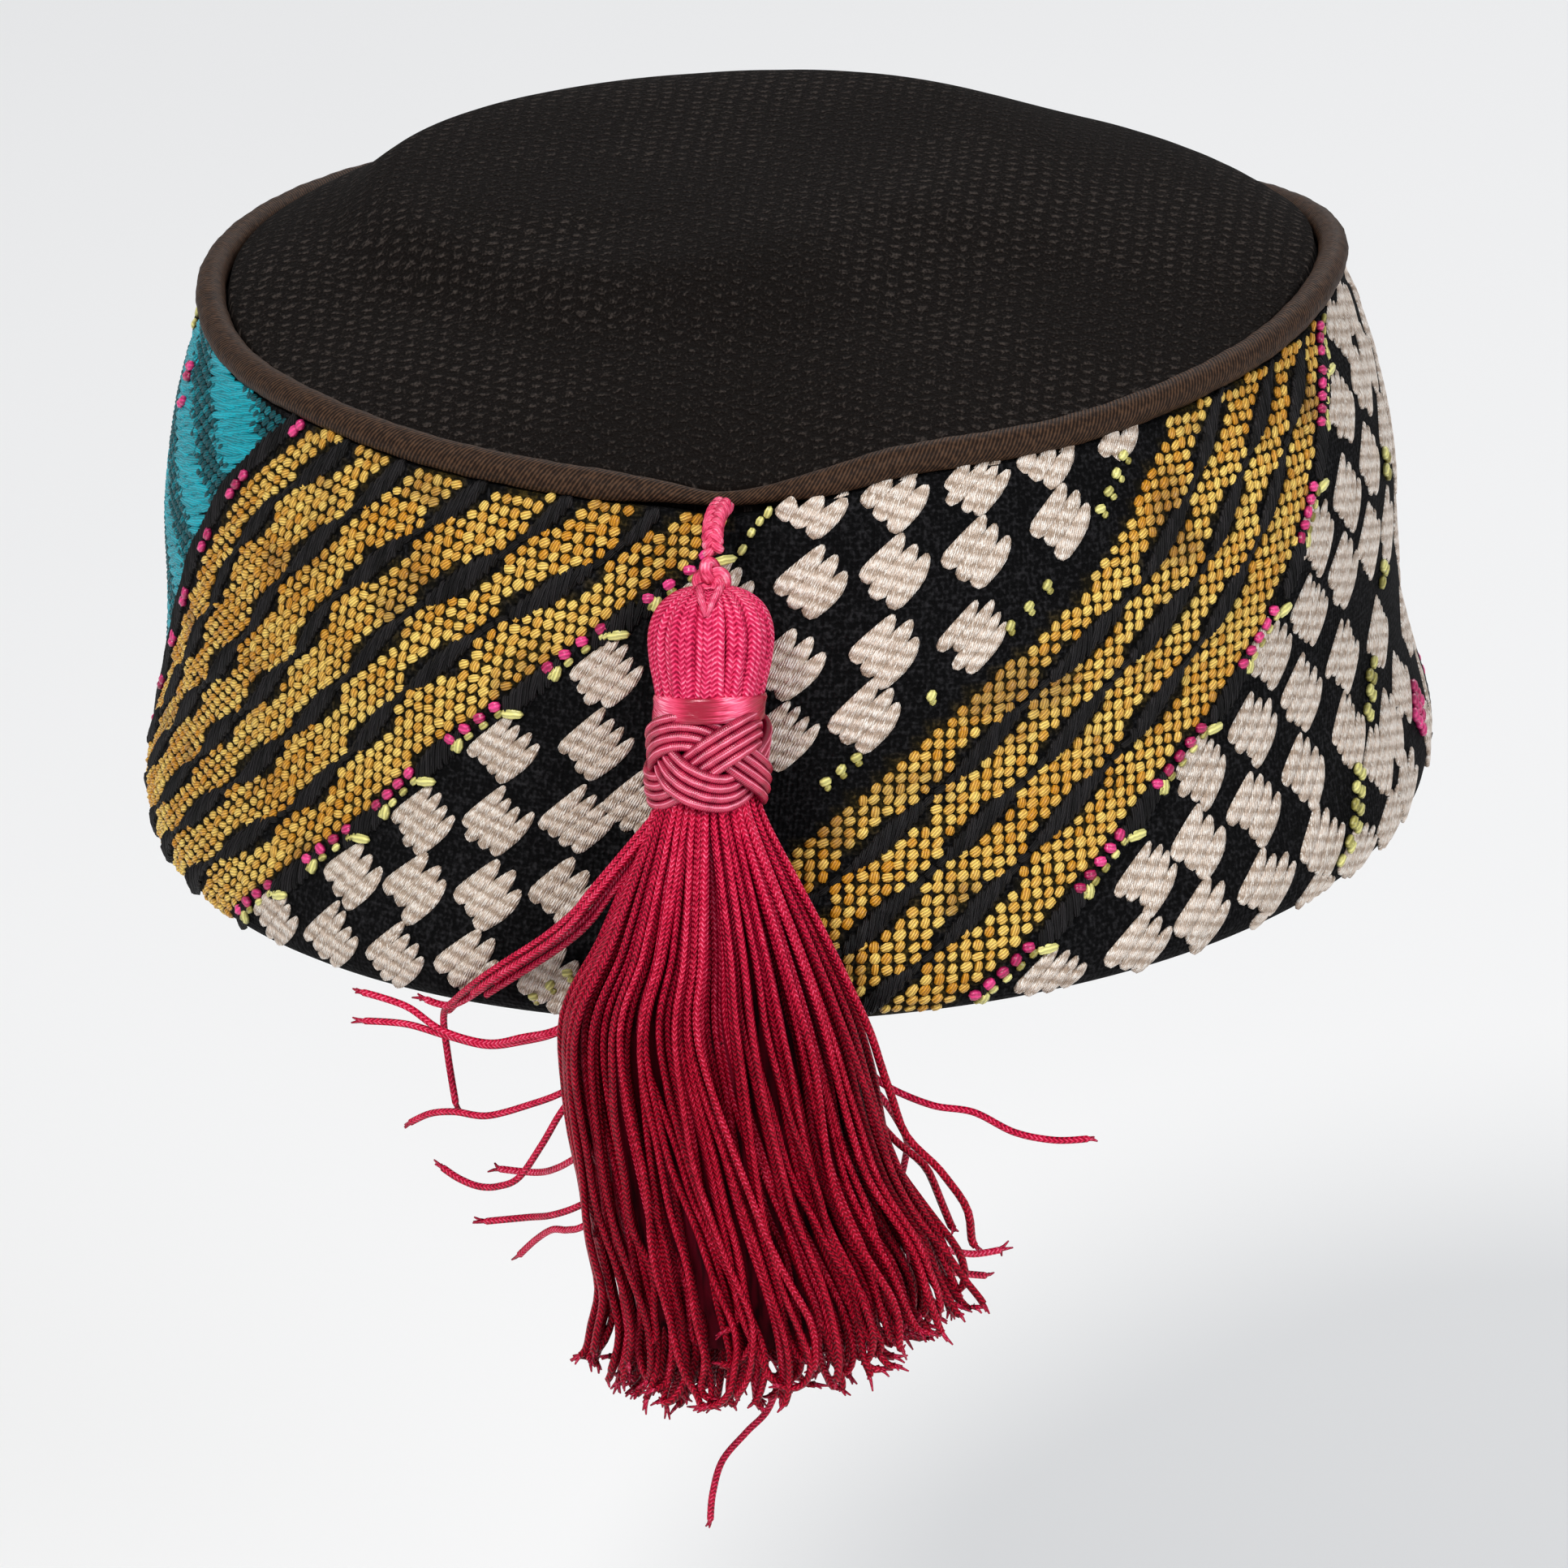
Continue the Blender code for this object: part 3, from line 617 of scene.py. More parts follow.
def band_strip():
    turns = np.linspace(-180, 180, 289)[:-1]
    share = np.concatenate([np.linspace(BAND_TOP, 8, 34), np.linspace(6.5, 0, 8)])
    rings, places = [], []
    for turn in turns:
        scale = seam_height(turn) / MEAN_SEAM_HEIGHT
        heights = share * scale
        outer = on_oval(turn, band_outside(turn, heights), heights)
        hem = [on_oval(turn, band_outside(turn, 0) - k * HEM_WALL, -HEM_SAG * HEM_FOLD * math.sin(math.pi * k))
               for k in HEM_SHARES]
        turned_up = [HEM_FOLD, 5, 9, HEM_TURN_UP, HEM_TURN_UP + HEM_STEP]
        inner_heights = np.concatenate([turned_up, np.linspace(20, BAND_TOP, 12) * scale])
        inner = on_oval(turn, band_inside(turn, inner_heights), inner_heights)
        rings.append(np.concatenate([outer, hem, inner]))
        inner_ups = TURNED_UP - inner_heights
        ups = np.concatenate([heights, HEM_UPS, inner_ups, [inner_ups[-1] - BAND_WALL]])
        places.append(np.stack([np.full(len(ups), along_at(turn)), ups], -1))
    places.append(places[0] + [ROUND, 0.0])
    return skin("band_cloth", rings, places=places)


ground = black_ground()
band_cloth = hand_in("band_cloth", band_strip(), ground, "brocade", "side_band")

# %% [markdown]
# ## The chart of the brocade
# The cloth is cut on the bias, so its pattern climbs from left to right. Read along the hem it goes: teal,
# gold with five black stripes, a cream and black check, a dark gap, gold with three black stripes, another
# check, and teal again. The whole pattern comes twice round the cap. Each line below is a boundary or a
# black stripe, given by how far round it is at a few heights.

# %% Lines of the chart
REPEAT = 321.0  # the stripes and the middle check come a second time this far on, at the back
TEAL_WIDTH_BACK, TEAL_WIDTH_FRONT = 5.0, 60.0
LINE_HEIGHTS = (-3, 5, 15, 25, 35, 45, 55, 65, 73, 81)
LINES = {  # u at each height
    "teal_edge": (-169, -158, -144.5, -131, -119.0, -109.5, -101.4, -92.4, -81.8, -71.5),
    "stripe_1": (-161, -150, -136, -122.5, -110.2, -99.4, -92.0, -81.2, -69.6, -58.5),
    "stripe_2": (-150, -139, -125.5, -112.6, -98.6, -86.1, -77.2, -65.6, -56.2, -46),
    "stripe_3": (-135, -124, -110.5, -98.6, -84.4, -73.0, -64.7, -52.0, -40.0, -28.5),
    "stripe_4": (-124, -113, -98.7, -84.1, -71.6, -60.5, -50.5, -34.8, -24.4, -13),
    "stripe_5": (-111, -98.9, -83.9, -69.4, -58.9, -49.1, -36.3, -19.2, -9, 1.5),
    "check_left": (-95, -84, -70.0, -57.2, -46.9, -33.8, -20.7, -5, 4, 14),
    "check_right": (-38, -27, -14, -1, 13.3, 27.3, 43.0, 56.6, 64.8, 73),
    "gold_left": (-31, -20, -6, 8, 20.7, 33.9, 51.7, 63.8, 72.3, 81),
    "stripe_6": (-18.1, -7.2, 6.7, 20.4, 33.9, 47.0, 63.6, 75.6, 84.3, 93),
    "stripe_7": (-4.4, 6.5, 20.2, 33.7, 47.9, 60.9, 77.0, 87.7, 98.8, 109),
    "stripe_8": (9.9, 20.7, 34.2, 47.5, 62.5, 75.4, 88.1, 99.4, 110.2, 121),
    "edge_left": (25, 35.7, 49.1, 62.1, 77.9, 90.8, 101.4, 111.1, 119, 127),
}
BLOCK_ROWS = (-7.8, 3.6, 15.0, 26.4, 37.8, 49.2, 60.8, 72.2)  # heights at which the black stripes swell
MARGIN_TOP = 2.4  # no float is set nearer to the seam than this


def line_u(name, v):
    if name == "far_check_end":
        return line_u("teal_edge", v) + REPEAT - TEAL_WIDTH_BACK
    if name == "near_check_end":
        return line_u("teal_edge", v) + ROUND - REPEAT - TEAL_WIDTH_FRONT
    return np.interp(v, LINE_HEIGHTS, LINES[name])


def line_angle(name, v):
    """The line's slope on the cloth, in degrees."""
    return np.degrees(np.arctan2(2.0, line_u(name, v + 1) - line_u(name, v - 1)))


def beside(name, u, v):
    """How far a place lies from a line, square to it. It is positive on the right."""
    return (u - line_u(name, v)) * np.sin(np.radians(line_angle(name, v)))


def on_cloth(rows, margin_bottom=0.8):
    """The rows that lie on the cloth that shows, between the seam and the hem's fold."""
    rows = np.asarray(rows, float)
    u, v = rows[:, 0], rows[:, 1]
    return rows[(v < seam_height(turn_at(u)) - MARGIN_TOP) & (v > margin_bottom)]


def twice(rows, margin_bottom=0.8):
    """The rows at the front and again at the back, where the pattern repeats."""
    rows = np.asarray(rows, float)
    return on_cloth(np.concatenate([rows, rows + np.eye(1, rows.shape[1], 0) * REPEAT]), margin_bottom)


# %% [markdown]
# ## Gold ground of the stripes
# The gold parts are woven as small pebbles: two yarns, one pale and one orange, surface in turn as short
# floats between dark binders. A slanting grid places them, and those under a black stripe are left out.


# %% Yarn finish
# the satin's ripples are bands of painted shade and its glints are painted highlights; these set their slant and size
RIPPLE_RADIUS, RIPPLE_ROUND, RIPPLE_UP = 94.6, 0.29, 957.0  # satin ripples climb a little on their way round the cap
GLINT_COS, GLINT_SIN, GLINT_ALONG, GLINT_ACROSS = 0.93, 0.37, 1300.0, 5400.0  # the threads that glint, and their size


def yarn(name, dark, light, roughness, strands, shine, slant=0.0, depth=0.1, blotch=0.35, groove=0.2,
         painted_side_shade=0.55, satin=None, worn=None):
    """Floats of many fine threads. Tone goes from dark to light, and the sides of a float and the grooves between its
    threads are painted darker, as painted shade.
    """
    finish = Finish(name, roughness, specular_ior_level=shine)
    tone = finish.attribute("tone")
    x, y, _ = finish.attribute_parts("thread")
    _, _, rise = finish.attribute_parts("grain")
    blotchy = finish.noise(finish.place(), 900.0, 3.0)
    across = y * (1000.0 * math.cos(slant)) - x * (1000.0 * math.sin(slant))
    threads = (across * strands + blotchy * 0.8 + tone * 3.0).wave()
    share = (tone + (blotchy - 0.5) * blotch + threads * groove * 0.5).ease(-0.1, 1.1)
    # painted shade: a float's colour grows darker down its sides
    painted_shade = rise.ease(-0.25, 0.75) * painted_side_shade + (1 - painted_side_shade)
    colour = finish.mix(share, dark, light)
    height = threads * 0.35 + blotchy * 0.9
    if worn:  # here and there the thread is rubbed and duller
        colour = finish.mix(finish.noise(finish.place(), 75.0).ease(0.54, 0.7) * 0.7, colour, worn)
    if satin:  # soft ripples run across the cloth from float to float, and single threads glint
        # painted shade in soft ripples across the floats, in the shadow colour, and painted highlights, the glints, on
        # single threads
        pitch, shadow, painted_glint = satin
        place_x, place_y, place_z = finish.parts(finish.place())
        round_cap = place_x.maths("ARCTAN2", place_x, place_y * (-1 / DEPTH_SHARE)) * RIPPLE_RADIUS
        ripple = ((round_cap * RIPPLE_ROUND + place_z * RIPPLE_UP) / pitch + blotchy * 0.55).wave()
        colour = finish.mix(ripple.ease(-0.1, 1.0) * 0.62, colour, shadow)
        glint_x = (x * GLINT_COS + y * GLINT_SIN) * GLINT_ALONG
        glint_y = (y * GLINT_COS - x * GLINT_SIN) * GLINT_ACROSS
        strokes = finish.noise(finish.vector(glint_x, glint_y, tone * 20.0), 1.0, 2.0)
        colour = finish.mix((strokes - ripple * 0.05).ease(0.5, 0.62), colour, painted_glint)
        height = height - ripple * 0.8 + strokes * 0.8
    # the sides and the grooves between threads get their painted shade here
    finish.colour(finish.shaded(colour, painted_shade * (threads * groove + (1 - 0.5 * groove))))
    finish.relief(height, depth)
    return finish


gold_yarn = yarn("gold_yarn", paint(210, 140, 20), paint(250, 214, 110), 0.38, strands=2.3, depth=0.2, shine=0.4,
                 blotch=0.8, groove=0.26, painted_side_shade=0.66, worn=paint(150, 104, 44))

# %% Pebbles
STEP_ACROSS, STEP_DOWN = np.array((1.80, -0.16)), np.array((-0.10, -1.56))
STRIPES = [f"stripe_{k}" for k in range(1, 9)]
STRIPE_WIDE, STRIPE_NARROW, SWELL_REACH, SWELL_EDGE = 1.6, 0.2, 3.9, 2.2


def stripe_half_width(v):
    """A black stripe swells at each of its blocks and thins out between them."""
    nearest = np.min(np.abs(np.asarray(v)[..., None] - np.array(BLOCK_ROWS)), axis=-1)
    return STRIPE_NARROW + (STRIPE_WIDE - STRIPE_NARROW) * ease((SWELL_REACH - nearest) / SWELL_EDGE)


def is_gold(u, v):
    """Whether a place at the front lies in one of the two gold parts."""
    left = (beside("teal_edge", u, v) > 1.3) & (beside("check_left", u, v) < -0.9)
    return left | (beside("gold_left", u, v) > 0.6) & (beside("edge_left", u, v) < -0.9)


def pebble_rows():
    i, j = pairs(np.arange(-120, 130), np.arange(-75, 25))
    places = np.outer(i, STEP_ACROSS) + np.outer(j, STEP_DOWN) + 0.5
    places += chance.normal(0, 0.08, places.shape)
    u, v = places.T
    in_gold = is_gold(u, v)
    for name in STRIPES:
        in_gold &= np.abs(beside(name, u, v)) > stripe_half_width(v) + 0.45
    in_gold &= (v > -2) & (v < 82)
    u, v, i, j = (row[in_gold] for row in (u, v, i, j))
    count = len(u)
    pale_one = (i + j) % 2
    pale = pale_one * 0.40 + 0.27
    worn = 0.24 * np.sin(u * 0.11 + 1.3 * np.sin(v * 0.13)) * np.sin(v * 0.21 + u * 0.05)
    bronze = 0.25 * ease((-88 - u) / 30) * np.sin(u * 0.35 + v * 0.2)
    tone = np.clip(pale + worn - bronze + chance.normal(0, 0.11, count), 0, 1)
    flat = ease((-70 - u) / 30)  # on the left the pebbles lie flatter
    slant = 52 - 16 * pale_one - 26 * flat + chance.normal(0, 11, count)  # the two yarns slant differently
    half_length = chance.normal(0.96, 0.08, count) - 0.04 * flat
    half_width = chance.normal(0.78, 0.06, count) - 0.1 * flat
    half_height = chance.normal(0.58, 0.09, count)
    return np.stack([u, v, slant, half_length, half_width, half_height, tone], 1)


def mark_gold(mesh):
    """Under the pebbles the binding threads are olive, so the cloth's points are marked there."""
    spots = np.empty(len(mesh.vertices) * 3)
    mesh.vertices.foreach_get("co", spots)
    x, y, z = spots.reshape(-1, 3).T / MM
    u = along_at(np.degrees(np.arctan2(x, (SEAM_SHIFT_BACK * np.clip(z / MEAN_SEAM_HEIGHT, 0, 1) - y) / DEPTH_SHARE)))
    marked = np.zeros(len(u), bool)
    for shifted in (u, u + ROUND - REPEAT, u - REPEAT):
        in_stripe = np.any([np.abs(beside(name, shifted, z)) < 2.2 for name in STRIPES], axis=0)
        marked |= is_gold(shifted, z) & ~in_stripe
    keep_on_points(mesh, "gold", marked)


mark_gold(band_cloth.data)
grain_float = float_shape("grain_float", 6, 3, 2.6, 2.2, square=0.85)
pebbles = twice(pebble_rows())
on_left = pebbles[:, 0] < np.median(pebbles[:, 0])
for name, part in (("gold_floats_left", pebbles[on_left]), ("gold_floats_right", pebbles[~on_left])):
    lay_floats(name, grain_float, gold_yarn, part, sink=0.05, sway=0.15)
print("pebbles:", len(pebbles))

# %% [markdown]
# ## Black stripes
# Each black stripe is a chain of raised blocks. A block is a pillow of steep black satin floats, one beside
# the other across the stripe and longest in the middle. A thin neck of small floats joins it to the next.


# %% Blocks and necks
BLOCK_FLOATS, BLOCK_REACH, BLOCK_SLANT, BLOCK_HALF_LENGTH = 12, 3.5, 73, 2.75
NECK_BELOW, NECK_APART = 5.7, 2.6
SEAM_ROOM, HEM_ROOM, LEAST_ROOM = 1.6, 0.3, 0.6  # no float of a block runs over the piping or the hem


def black_rows():
    rows = []
    for name in STRIPES:
        for block in BLOCK_ROWS:
            for k in np.linspace(-1, 1, BLOCK_FLOATS):
                v = block + k * BLOCK_REACH + chance.normal(0, 0.06)
                u = line_u(name, v)
                room = max(min(v - HEM_ROOM, seam_height(turn_at(u)) - SEAM_ROOM - v), LEAST_ROOM)
                half = min(BLOCK_HALF_LENGTH * (1 - 0.55 * abs(k) ** 2.2), room)
                slant, high = BLOCK_SLANT + chance.normal(0, 3), 0.9 + chance.normal(0, 0.06)
                rows.append((u, v, slant, half, 0.66, high, chance.random()))
            for k in (-0.5, 0.0, 0.5):
                v = block + NECK_BELOW + k * NECK_APART
                slant = line_angle(name, v) + chance.normal(0, 9)
                rows.append((line_u(name, v), v, slant, 1.25, 0.6, 0.55, 0.4 * chance.random()))
    return rows


black_yarn = yarn("black_yarn", (0.0036, 0.0033, 0.0036), (0.021, 0.019, 0.021), 0.6, strands=3.4, depth=0.3, shine=0.2,
                  blotch=1.0, groove=0.5)
long_float = float_shape("long_float", 6, 5, 3.6, 3.6)
lay_floats("black_stripe_floats", grain_float, black_yarn, twice(black_rows(), margin_bottom=1.4), sink=0.0, sway=0.08)

# %% [markdown]
# ## Cream and black check
# Each cream cell is made of three to five satin floats lying side by side, rounded at one end and pointed at
# the other. Cells seen in front are charted one by one, because the cloth is pulled a little out of square,
# and a slanting grid gives the rest.

# %% Cells
CELL_ALONG, CELL_DOWN = np.array((12.3, 1.3)), np.array((-2.05, -10.7))
CELL_APART, CELL_HEIGHTS, LEFT_GAP, RIGHT_GAP = 7.6, (-6, 88), 3.0, 1.8
CELLS_LEFT = (  # (u, v) of each cell
    (-17.3, 50.1), (-33.3, 37.9), (-19.1, 39.9), (-47.2, 25.6), (-35.1, 26.9), (-21.9, 28.9), (-12.7, 31.8),
    (-58.9, 15.8), (-47.8, 15.9), (-35.7, 16.7), (-24, 18.3), (-74.9, 6), (-62.6, 5.9), (-50.2, 5.9), (-37.9, 6.9),
    (-24.9, 6))
CELLS_MIDDLE = (
    (13.1, 62.6), (25.3, 63.4), (38, 64.3), (51.9, 66), (8.9, 51.6), (22.7, 52.4), (36.1, 53.1), (19.8, 43.5),
    (26.5, 73.2), (39.4, 73.7))
CELLS_RIGHT = (
    (121.8, 65.1), (141.9, 74.5), (135.1, 65.3), (129.6, 55.0), (144.6, 55.4), (117.1, 53.8), (104.6, 51.6),
    (124.4, 44.2), (137.5, 42.6), (112.6, 43.4), (101.3, 41.4), (126.9, 29.6), (150.6, 23.7), (90.2, 38.6),
    (111.3, 31.3), (97.8, 30.1), (85.0, 28.6), (73.5, 25.9), (134.8, 18.9), (125.0, 16.2), (109.7, 20.7),
    (117.0, 14.1), (95.4, 19.4), (82.9, 17.9), (70.8, 16.1), (127.2, 7.2), (96.2, 8.9), (82.9, 7.5), (69.4, 5.8),
    (60.9, 13.7), (58.4, 4.6), (118.6, 4.1), (106.4, 3.6))


def fill_cells(charted, left, right):
    """The charted cells, and more on the grid that fits them, between two lines of the chart."""
    charted = np.array(charted, float)
    steps = np.stack([CELL_ALONG, CELL_DOWN], 1)
    index = np.round(np.linalg.solve(steps, (charted - charted[0]).T).T)
    fitted = np.linalg.lstsq(np.column_stack([index, np.ones(len(index))]), charted, rcond=None)[0]
    found = [tuple(c) for c in charted]
    for i in range(-14, 15):
        for j in range(-10, 11):
            place = i * fitted[0] + j * fitted[1] + fitted[2]
            if any(np.hypot(c[0] - place[0], c[1] - place[1]) < CELL_APART for c in found):
                continue
            on_band_cloth = CELL_HEIGHTS[0] < place[1] < CELL_HEIGHTS[1]
            if on_band_cloth and beside(left, *place) > LEFT_GAP and beside(right, *place) < -RIGHT_GAP:
                found.append(tuple(place))
    return found


middle_cells = fill_cells(CELLS_LEFT + CELLS_MIDDLE, "check_left", "check_right")
far_cells = fill_cells(CELLS_RIGHT, "edge_left", "far_check_end")
near_cells = [c for c in far_cells if beside("near_check_end", *c) < -1.5]
cells = middle_cells + far_cells + [(u + REPEAT, v) for u, v in middle_cells + near_cells]
print("cream cells:", len(cells))


# %% Fingers of the cells
FINGER_ANGLE, STACK_ANGLE, FINGER_HALF_LENGTH = 39.5, -42.0, 5.1


def direction(angle):
    """One millimetre over the flat cloth at an angle in degrees, as (along, up)."""
    return np.array((math.cos(math.radians(angle)), math.sin(math.radians(angle))))


def trimmed(u, v, angle, half):
    """A float's place and half length, once what would pass the seam or the hem is taken off."""
    forth, climb = direction(angle)
    top, bottom = (float(seam_height(turn_at(u))) - 1.4 - v) / climb, (0.9 - v) / climb
    end, start = min(half, top), max(-half, bottom)
    middle = (start + end) / 2
    return u + middle * forth, v + middle * climb, (end - start) / 2


def finger_rows():
    rows = []
    stack, run = direction(STACK_ANGLE), direction(FINGER_ANGLE)
    for cell in cells:
        right_part = ease((cell[0] - 60) / 25)
        count = int(chance.choice((3, 4))) + (chance.random() < 0.6 * right_part)
        pitch = (7.4 + 1.5 * right_part) / count
        for k in range(count):
            off = (k - (count - 1) / 2) * pitch
            place = np.array(cell) + off * stack + (0.45 + chance.normal(0, 0.35)) * run
            angle = FINGER_ANGLE + chance.normal(0, 1.6)
            half = FINGER_HALF_LENGTH - 0.35 * abs(off) / 2.7 + chance.normal(0, 0.25)
            u, v, half = trimmed(*place, angle, half)
            if half > 1.3:
                rows.append((u, v, angle, half, pitch * 0.63, 0.56, 0.4 + 0.5 * chance.random()))
    return rows


# in the satin setting, the brown is the ripples' painted shade and the near white is the glints' painted highlight
cream_yarn = yarn("cream_yarn", paint(184, 162, 143), paint(235, 215, 198), 0.36, strands=3.0, slant=0.4, depth=0.2,
                  shine=0.45, blotch=0.6, groove=0.14, painted_side_shade=0.4,
                  satin=(2.0, paint(150, 124, 100), paint(255, 246, 236)))
finger_float = float_shape("finger_float", 8, 7, 6.0, 1.7, square=0.75, hook=0.5)
lay_floats("cream_floats", finger_float, cream_yarn, finger_rows(), sink=0.12, sway=0.03)

# %% [markdown]
# ## Dots along the edges
# Where gold meets check, bright pink floats come up in groups of four or five, one group for each cell, with
# a black block between the groups. Small yellow-green floats follow the cell's upper side.


# %% Pink, green and black at the edges
PINK_GROUPS = {"check_left": (63.8, 53.5, 41.5, 29.5, 19.0, 7.6, -4), "edge_left": (77, 69, 55.9, 42, 29.3, 18, 5.7)}
TEAL_PINKS = (75.9, 74.6, 65.8, 64, 62.3, 54.6, 52.2, 43.1, 41.4, 33.8, 32.2, 22.6, 21.0, 11.2, 9.8)  # heights
GREEN_GROUPS = (4, 6, 8, 14, 16, 24, 26, 35, 36.6, 38.2, 46, 54, 56.2, 58.6, 67, 69, 71, 73)  # heights
FAR_GREEN = ((-3, 92), (3.7, 99.5), (8.7, 104.8), (15.5, 109.5), (24, 119.6), (26.8, 120.6), (37.6, 131.5),
             (51.2, 137.6), (76, 152))  # (v, u)
FAR_GREEN_PARTS = ((5, 16.5), (21, 28), (36, 39.5), (50, 54))  # heights between which it shows
TOP_GREEN = ((2.8, 67.3, 0.95), (4.2, 69.5, 0.8), (5.5, 71.1, 0.8), (6.8, 72.4, 1.0))  # (u, v, half length)
EDGE_SLANT = 48  # how far black edge floats are turned from the line that they follow
GROUP_REACH, BLACK_BELOW = 2.9, 5.9  # up and down from a group's middle, and down to the black block's middle


def edge_rows():
    pink, green, black = [], [], []
    for name, groups in PINK_GROUPS.items():
        for middle in groups:
            for k in np.linspace(-1, 1, 4 if name == "check_left" else 5):
                v = middle + k * GROUP_REACH
                pink.append((line_u(name, v) + 0.3, v, chance.normal(20, 25), 1.02, 0.84, 0.75, chance.random()))
                u, slant = line_u(name, v - 1.0) + 2.3, line_angle(name, v)
                green.append((u, v - 1.0, slant, 0.85, 0.58, 0.5, chance.random()))
            green.append((line_u(name, middle + 2.2) + 4.0, middle + 2.2, 8, 1.9, 0.8, 0.6, 0.9))
            green.append((line_u(name, middle - 3.6) + 2.6, middle - 3.6, 75, 1.3, 0.85, 0.6, 0.75))
            for k in np.linspace(-1, 1, 8):
                v = middle - BLACK_BELOW + k * GROUP_REACH
                slant = line_angle(name, v) + EDGE_SLANT + chance.normal(0, 4)
                black.append((line_u(name, v) + 1.7, v, slant, 2.4 * (1 - 0.3 * k * k), 0.72, 0.85, chance.random()))
    for v in GREEN_GROUPS:
        u, slant = line_u("check_right", v) + 0.3, chance.normal(40, 15)
        green.append((u, v, slant, 0.95, 0.72, 0.6, 0.4 + 0.6 * chance.random()))
        u, slant = line_u("check_right", v - 0.9) + 1.9, chance.normal(40, 15)
        green.append((u, v - 0.9, slant, 0.6, 0.5, 0.45, 0.5 * chance.random()))
    for v in TEAL_PINKS:
        pink.append((line_u("teal_edge", v) - 0.4, v, chance.normal(50, 20), 1.05, 0.85, 0.75, chance.random()))
    for v in np.arange(-4, 82, 0.95):
        slant, half = line_angle("teal_edge", v) + EDGE_SLANT, 1.95 + 0.5 * math.sin(v * 0.55)
        black.append((line_u("teal_edge", v) - 2.4, v, slant, half, 0.72, 0.8, chance.random()))
    return pink, green, black


def far_rows():
    """The green beside the loop, the right check's own column of green, and the few pink floats beyond it."""
    pink, green = [], []
    for k, v in enumerate(np.arange(-2, 54, 1.05)):
        if any(low < v < high for low, high in FAR_GREEN_PARTS):
            u = float(np.interp(v, *np.array(FAR_GREEN).T)) + 0.9 * (-1) ** k
            green.append((u, v, 30, 1.15, 0.85, 0.7, chance.random()))
    green += [(u, v, 62, half, 0.62, 0.6, 0.7) for u, v, half in TOP_GREEN]
    for a, b in zip(*pairs((-1, 0, 1), (-1, 0, 1))):
        pink.append((140.5 + 1.9 * a - 1.2 * b, 14.2 + 1.5 * a + 1.5 * b, 30, 1.2, 1.0, 0.8, chance.random()))
    for a, b in zip(*pairs((0, 1), (0, 1))):
        pink.append((-128.5 - 1.6 * a, 71.6 - 1.5 * b - 0.4 * a, 20, 1.1, 0.85, 0.8, chance.random()))
    pink += [(-127.5, 66.8, 20, 1.1, 0.85, 0.8, 0.6), (-129.0, 66.0, 20, 1.1, 0.85, 0.8, 0.9)]
    return pink, green


pink_rows, green_rows, edge_black = edge_rows()
far_pink, far_green = far_rows()
pink_yarn = yarn("pink_yarn", paint(160, 14, 76), paint(240, 62, 140), 0.3, strands=1.6, shine=0.5)
lime_yarn = yarn("lime_yarn", paint(140, 130, 52), paint(232, 226, 140), 0.32, strands=1.6, shine=0.5)
lay_floats("pink_dots", grain_float, pink_yarn, np.concatenate([twice(pink_rows), far_pink]), sink=-0.35)
lay_floats("lime_dots", grain_float, lime_yarn, np.concatenate([twice(green_rows), far_green]), sink=-0.4)
lay_floats("black_edge_floats", long_float, black_yarn, twice(edge_black, margin_bottom=2.6), sink=0.0)

# %% [markdown]
# ## Teal part
# Beyond the gold the cloth turns teal. Bright smooth floats make slanting bars, and between them the cloth is
# woven close in dark green.


# %% Teal floats
BAR_PITCH, BAR_MIDDLE, BAR_SLOPE = 12.4, 66, 0.33
TEAL_START, TEAL_STEP, TEAL_ROW_STEP, TEAL_ROW_SHIFT = 4.6, 4.2, 0.8, 1.4


def teal_bar(u, v, shift):
    """1 in the middle of a bright bar, -1 in the middle of a dark one."""
    across = v + BAR_SLOPE * (u - shift - line_u("teal_edge", v))
    return np.cos((across - BAR_MIDDLE) / BAR_PITCH * 2 * math.pi)


def teal_rows(width, shift):
    rows = []
    for k, v in enumerate(np.arange(-2, 84, TEAL_ROW_STEP)):
        right_edge = line_u("teal_edge", v) + shift - TEAL_START
        for u in np.arange(right_edge - width + TEAL_START, right_edge, TEAL_STEP) + (k % 3) * TEAL_ROW_SHIFT:
            if u < right_edge and teal_bar(u, v, shift) > -0.05:
                rows.append((u, v, 14 + chance.normal(0, 2), 3.9, 0.74, 0.42, 0.55 + 0.4 * chance.random()))
    for i, j in zip(*pairs(range(-140, 160), range(-75, 25))):
        u, v = i * STEP_ACROSS + j * STEP_DOWN
        past = u - shift - line_u("teal_edge", v)
        if -width < past < -4.4 and -2 < v < 83 and teal_bar(u, v, shift) < 0.05:
            slant, tone = 35 + chance.normal(0, 8), 0.02 + 0.36 * chance.random() * ((i + j) % 2)
            rows.append((u, v, slant, 0.98, 0.74, 0.5, tone))
    return rows


teal_yarn = yarn("teal_yarn", paint(4, 62, 68), paint(4, 176, 194), 0.5, strands=2.6, shine=0.2, groove=0.2,
                 painted_side_shade=0.4, blotch=0.5)
teal_part = teal_rows(TEAL_WIDTH_FRONT, 0.0) + teal_rows(TEAL_WIDTH_BACK, REPEAT)
lay_floats("teal_floats", long_float, teal_yarn, on_cloth(teal_part), sink=0.1)
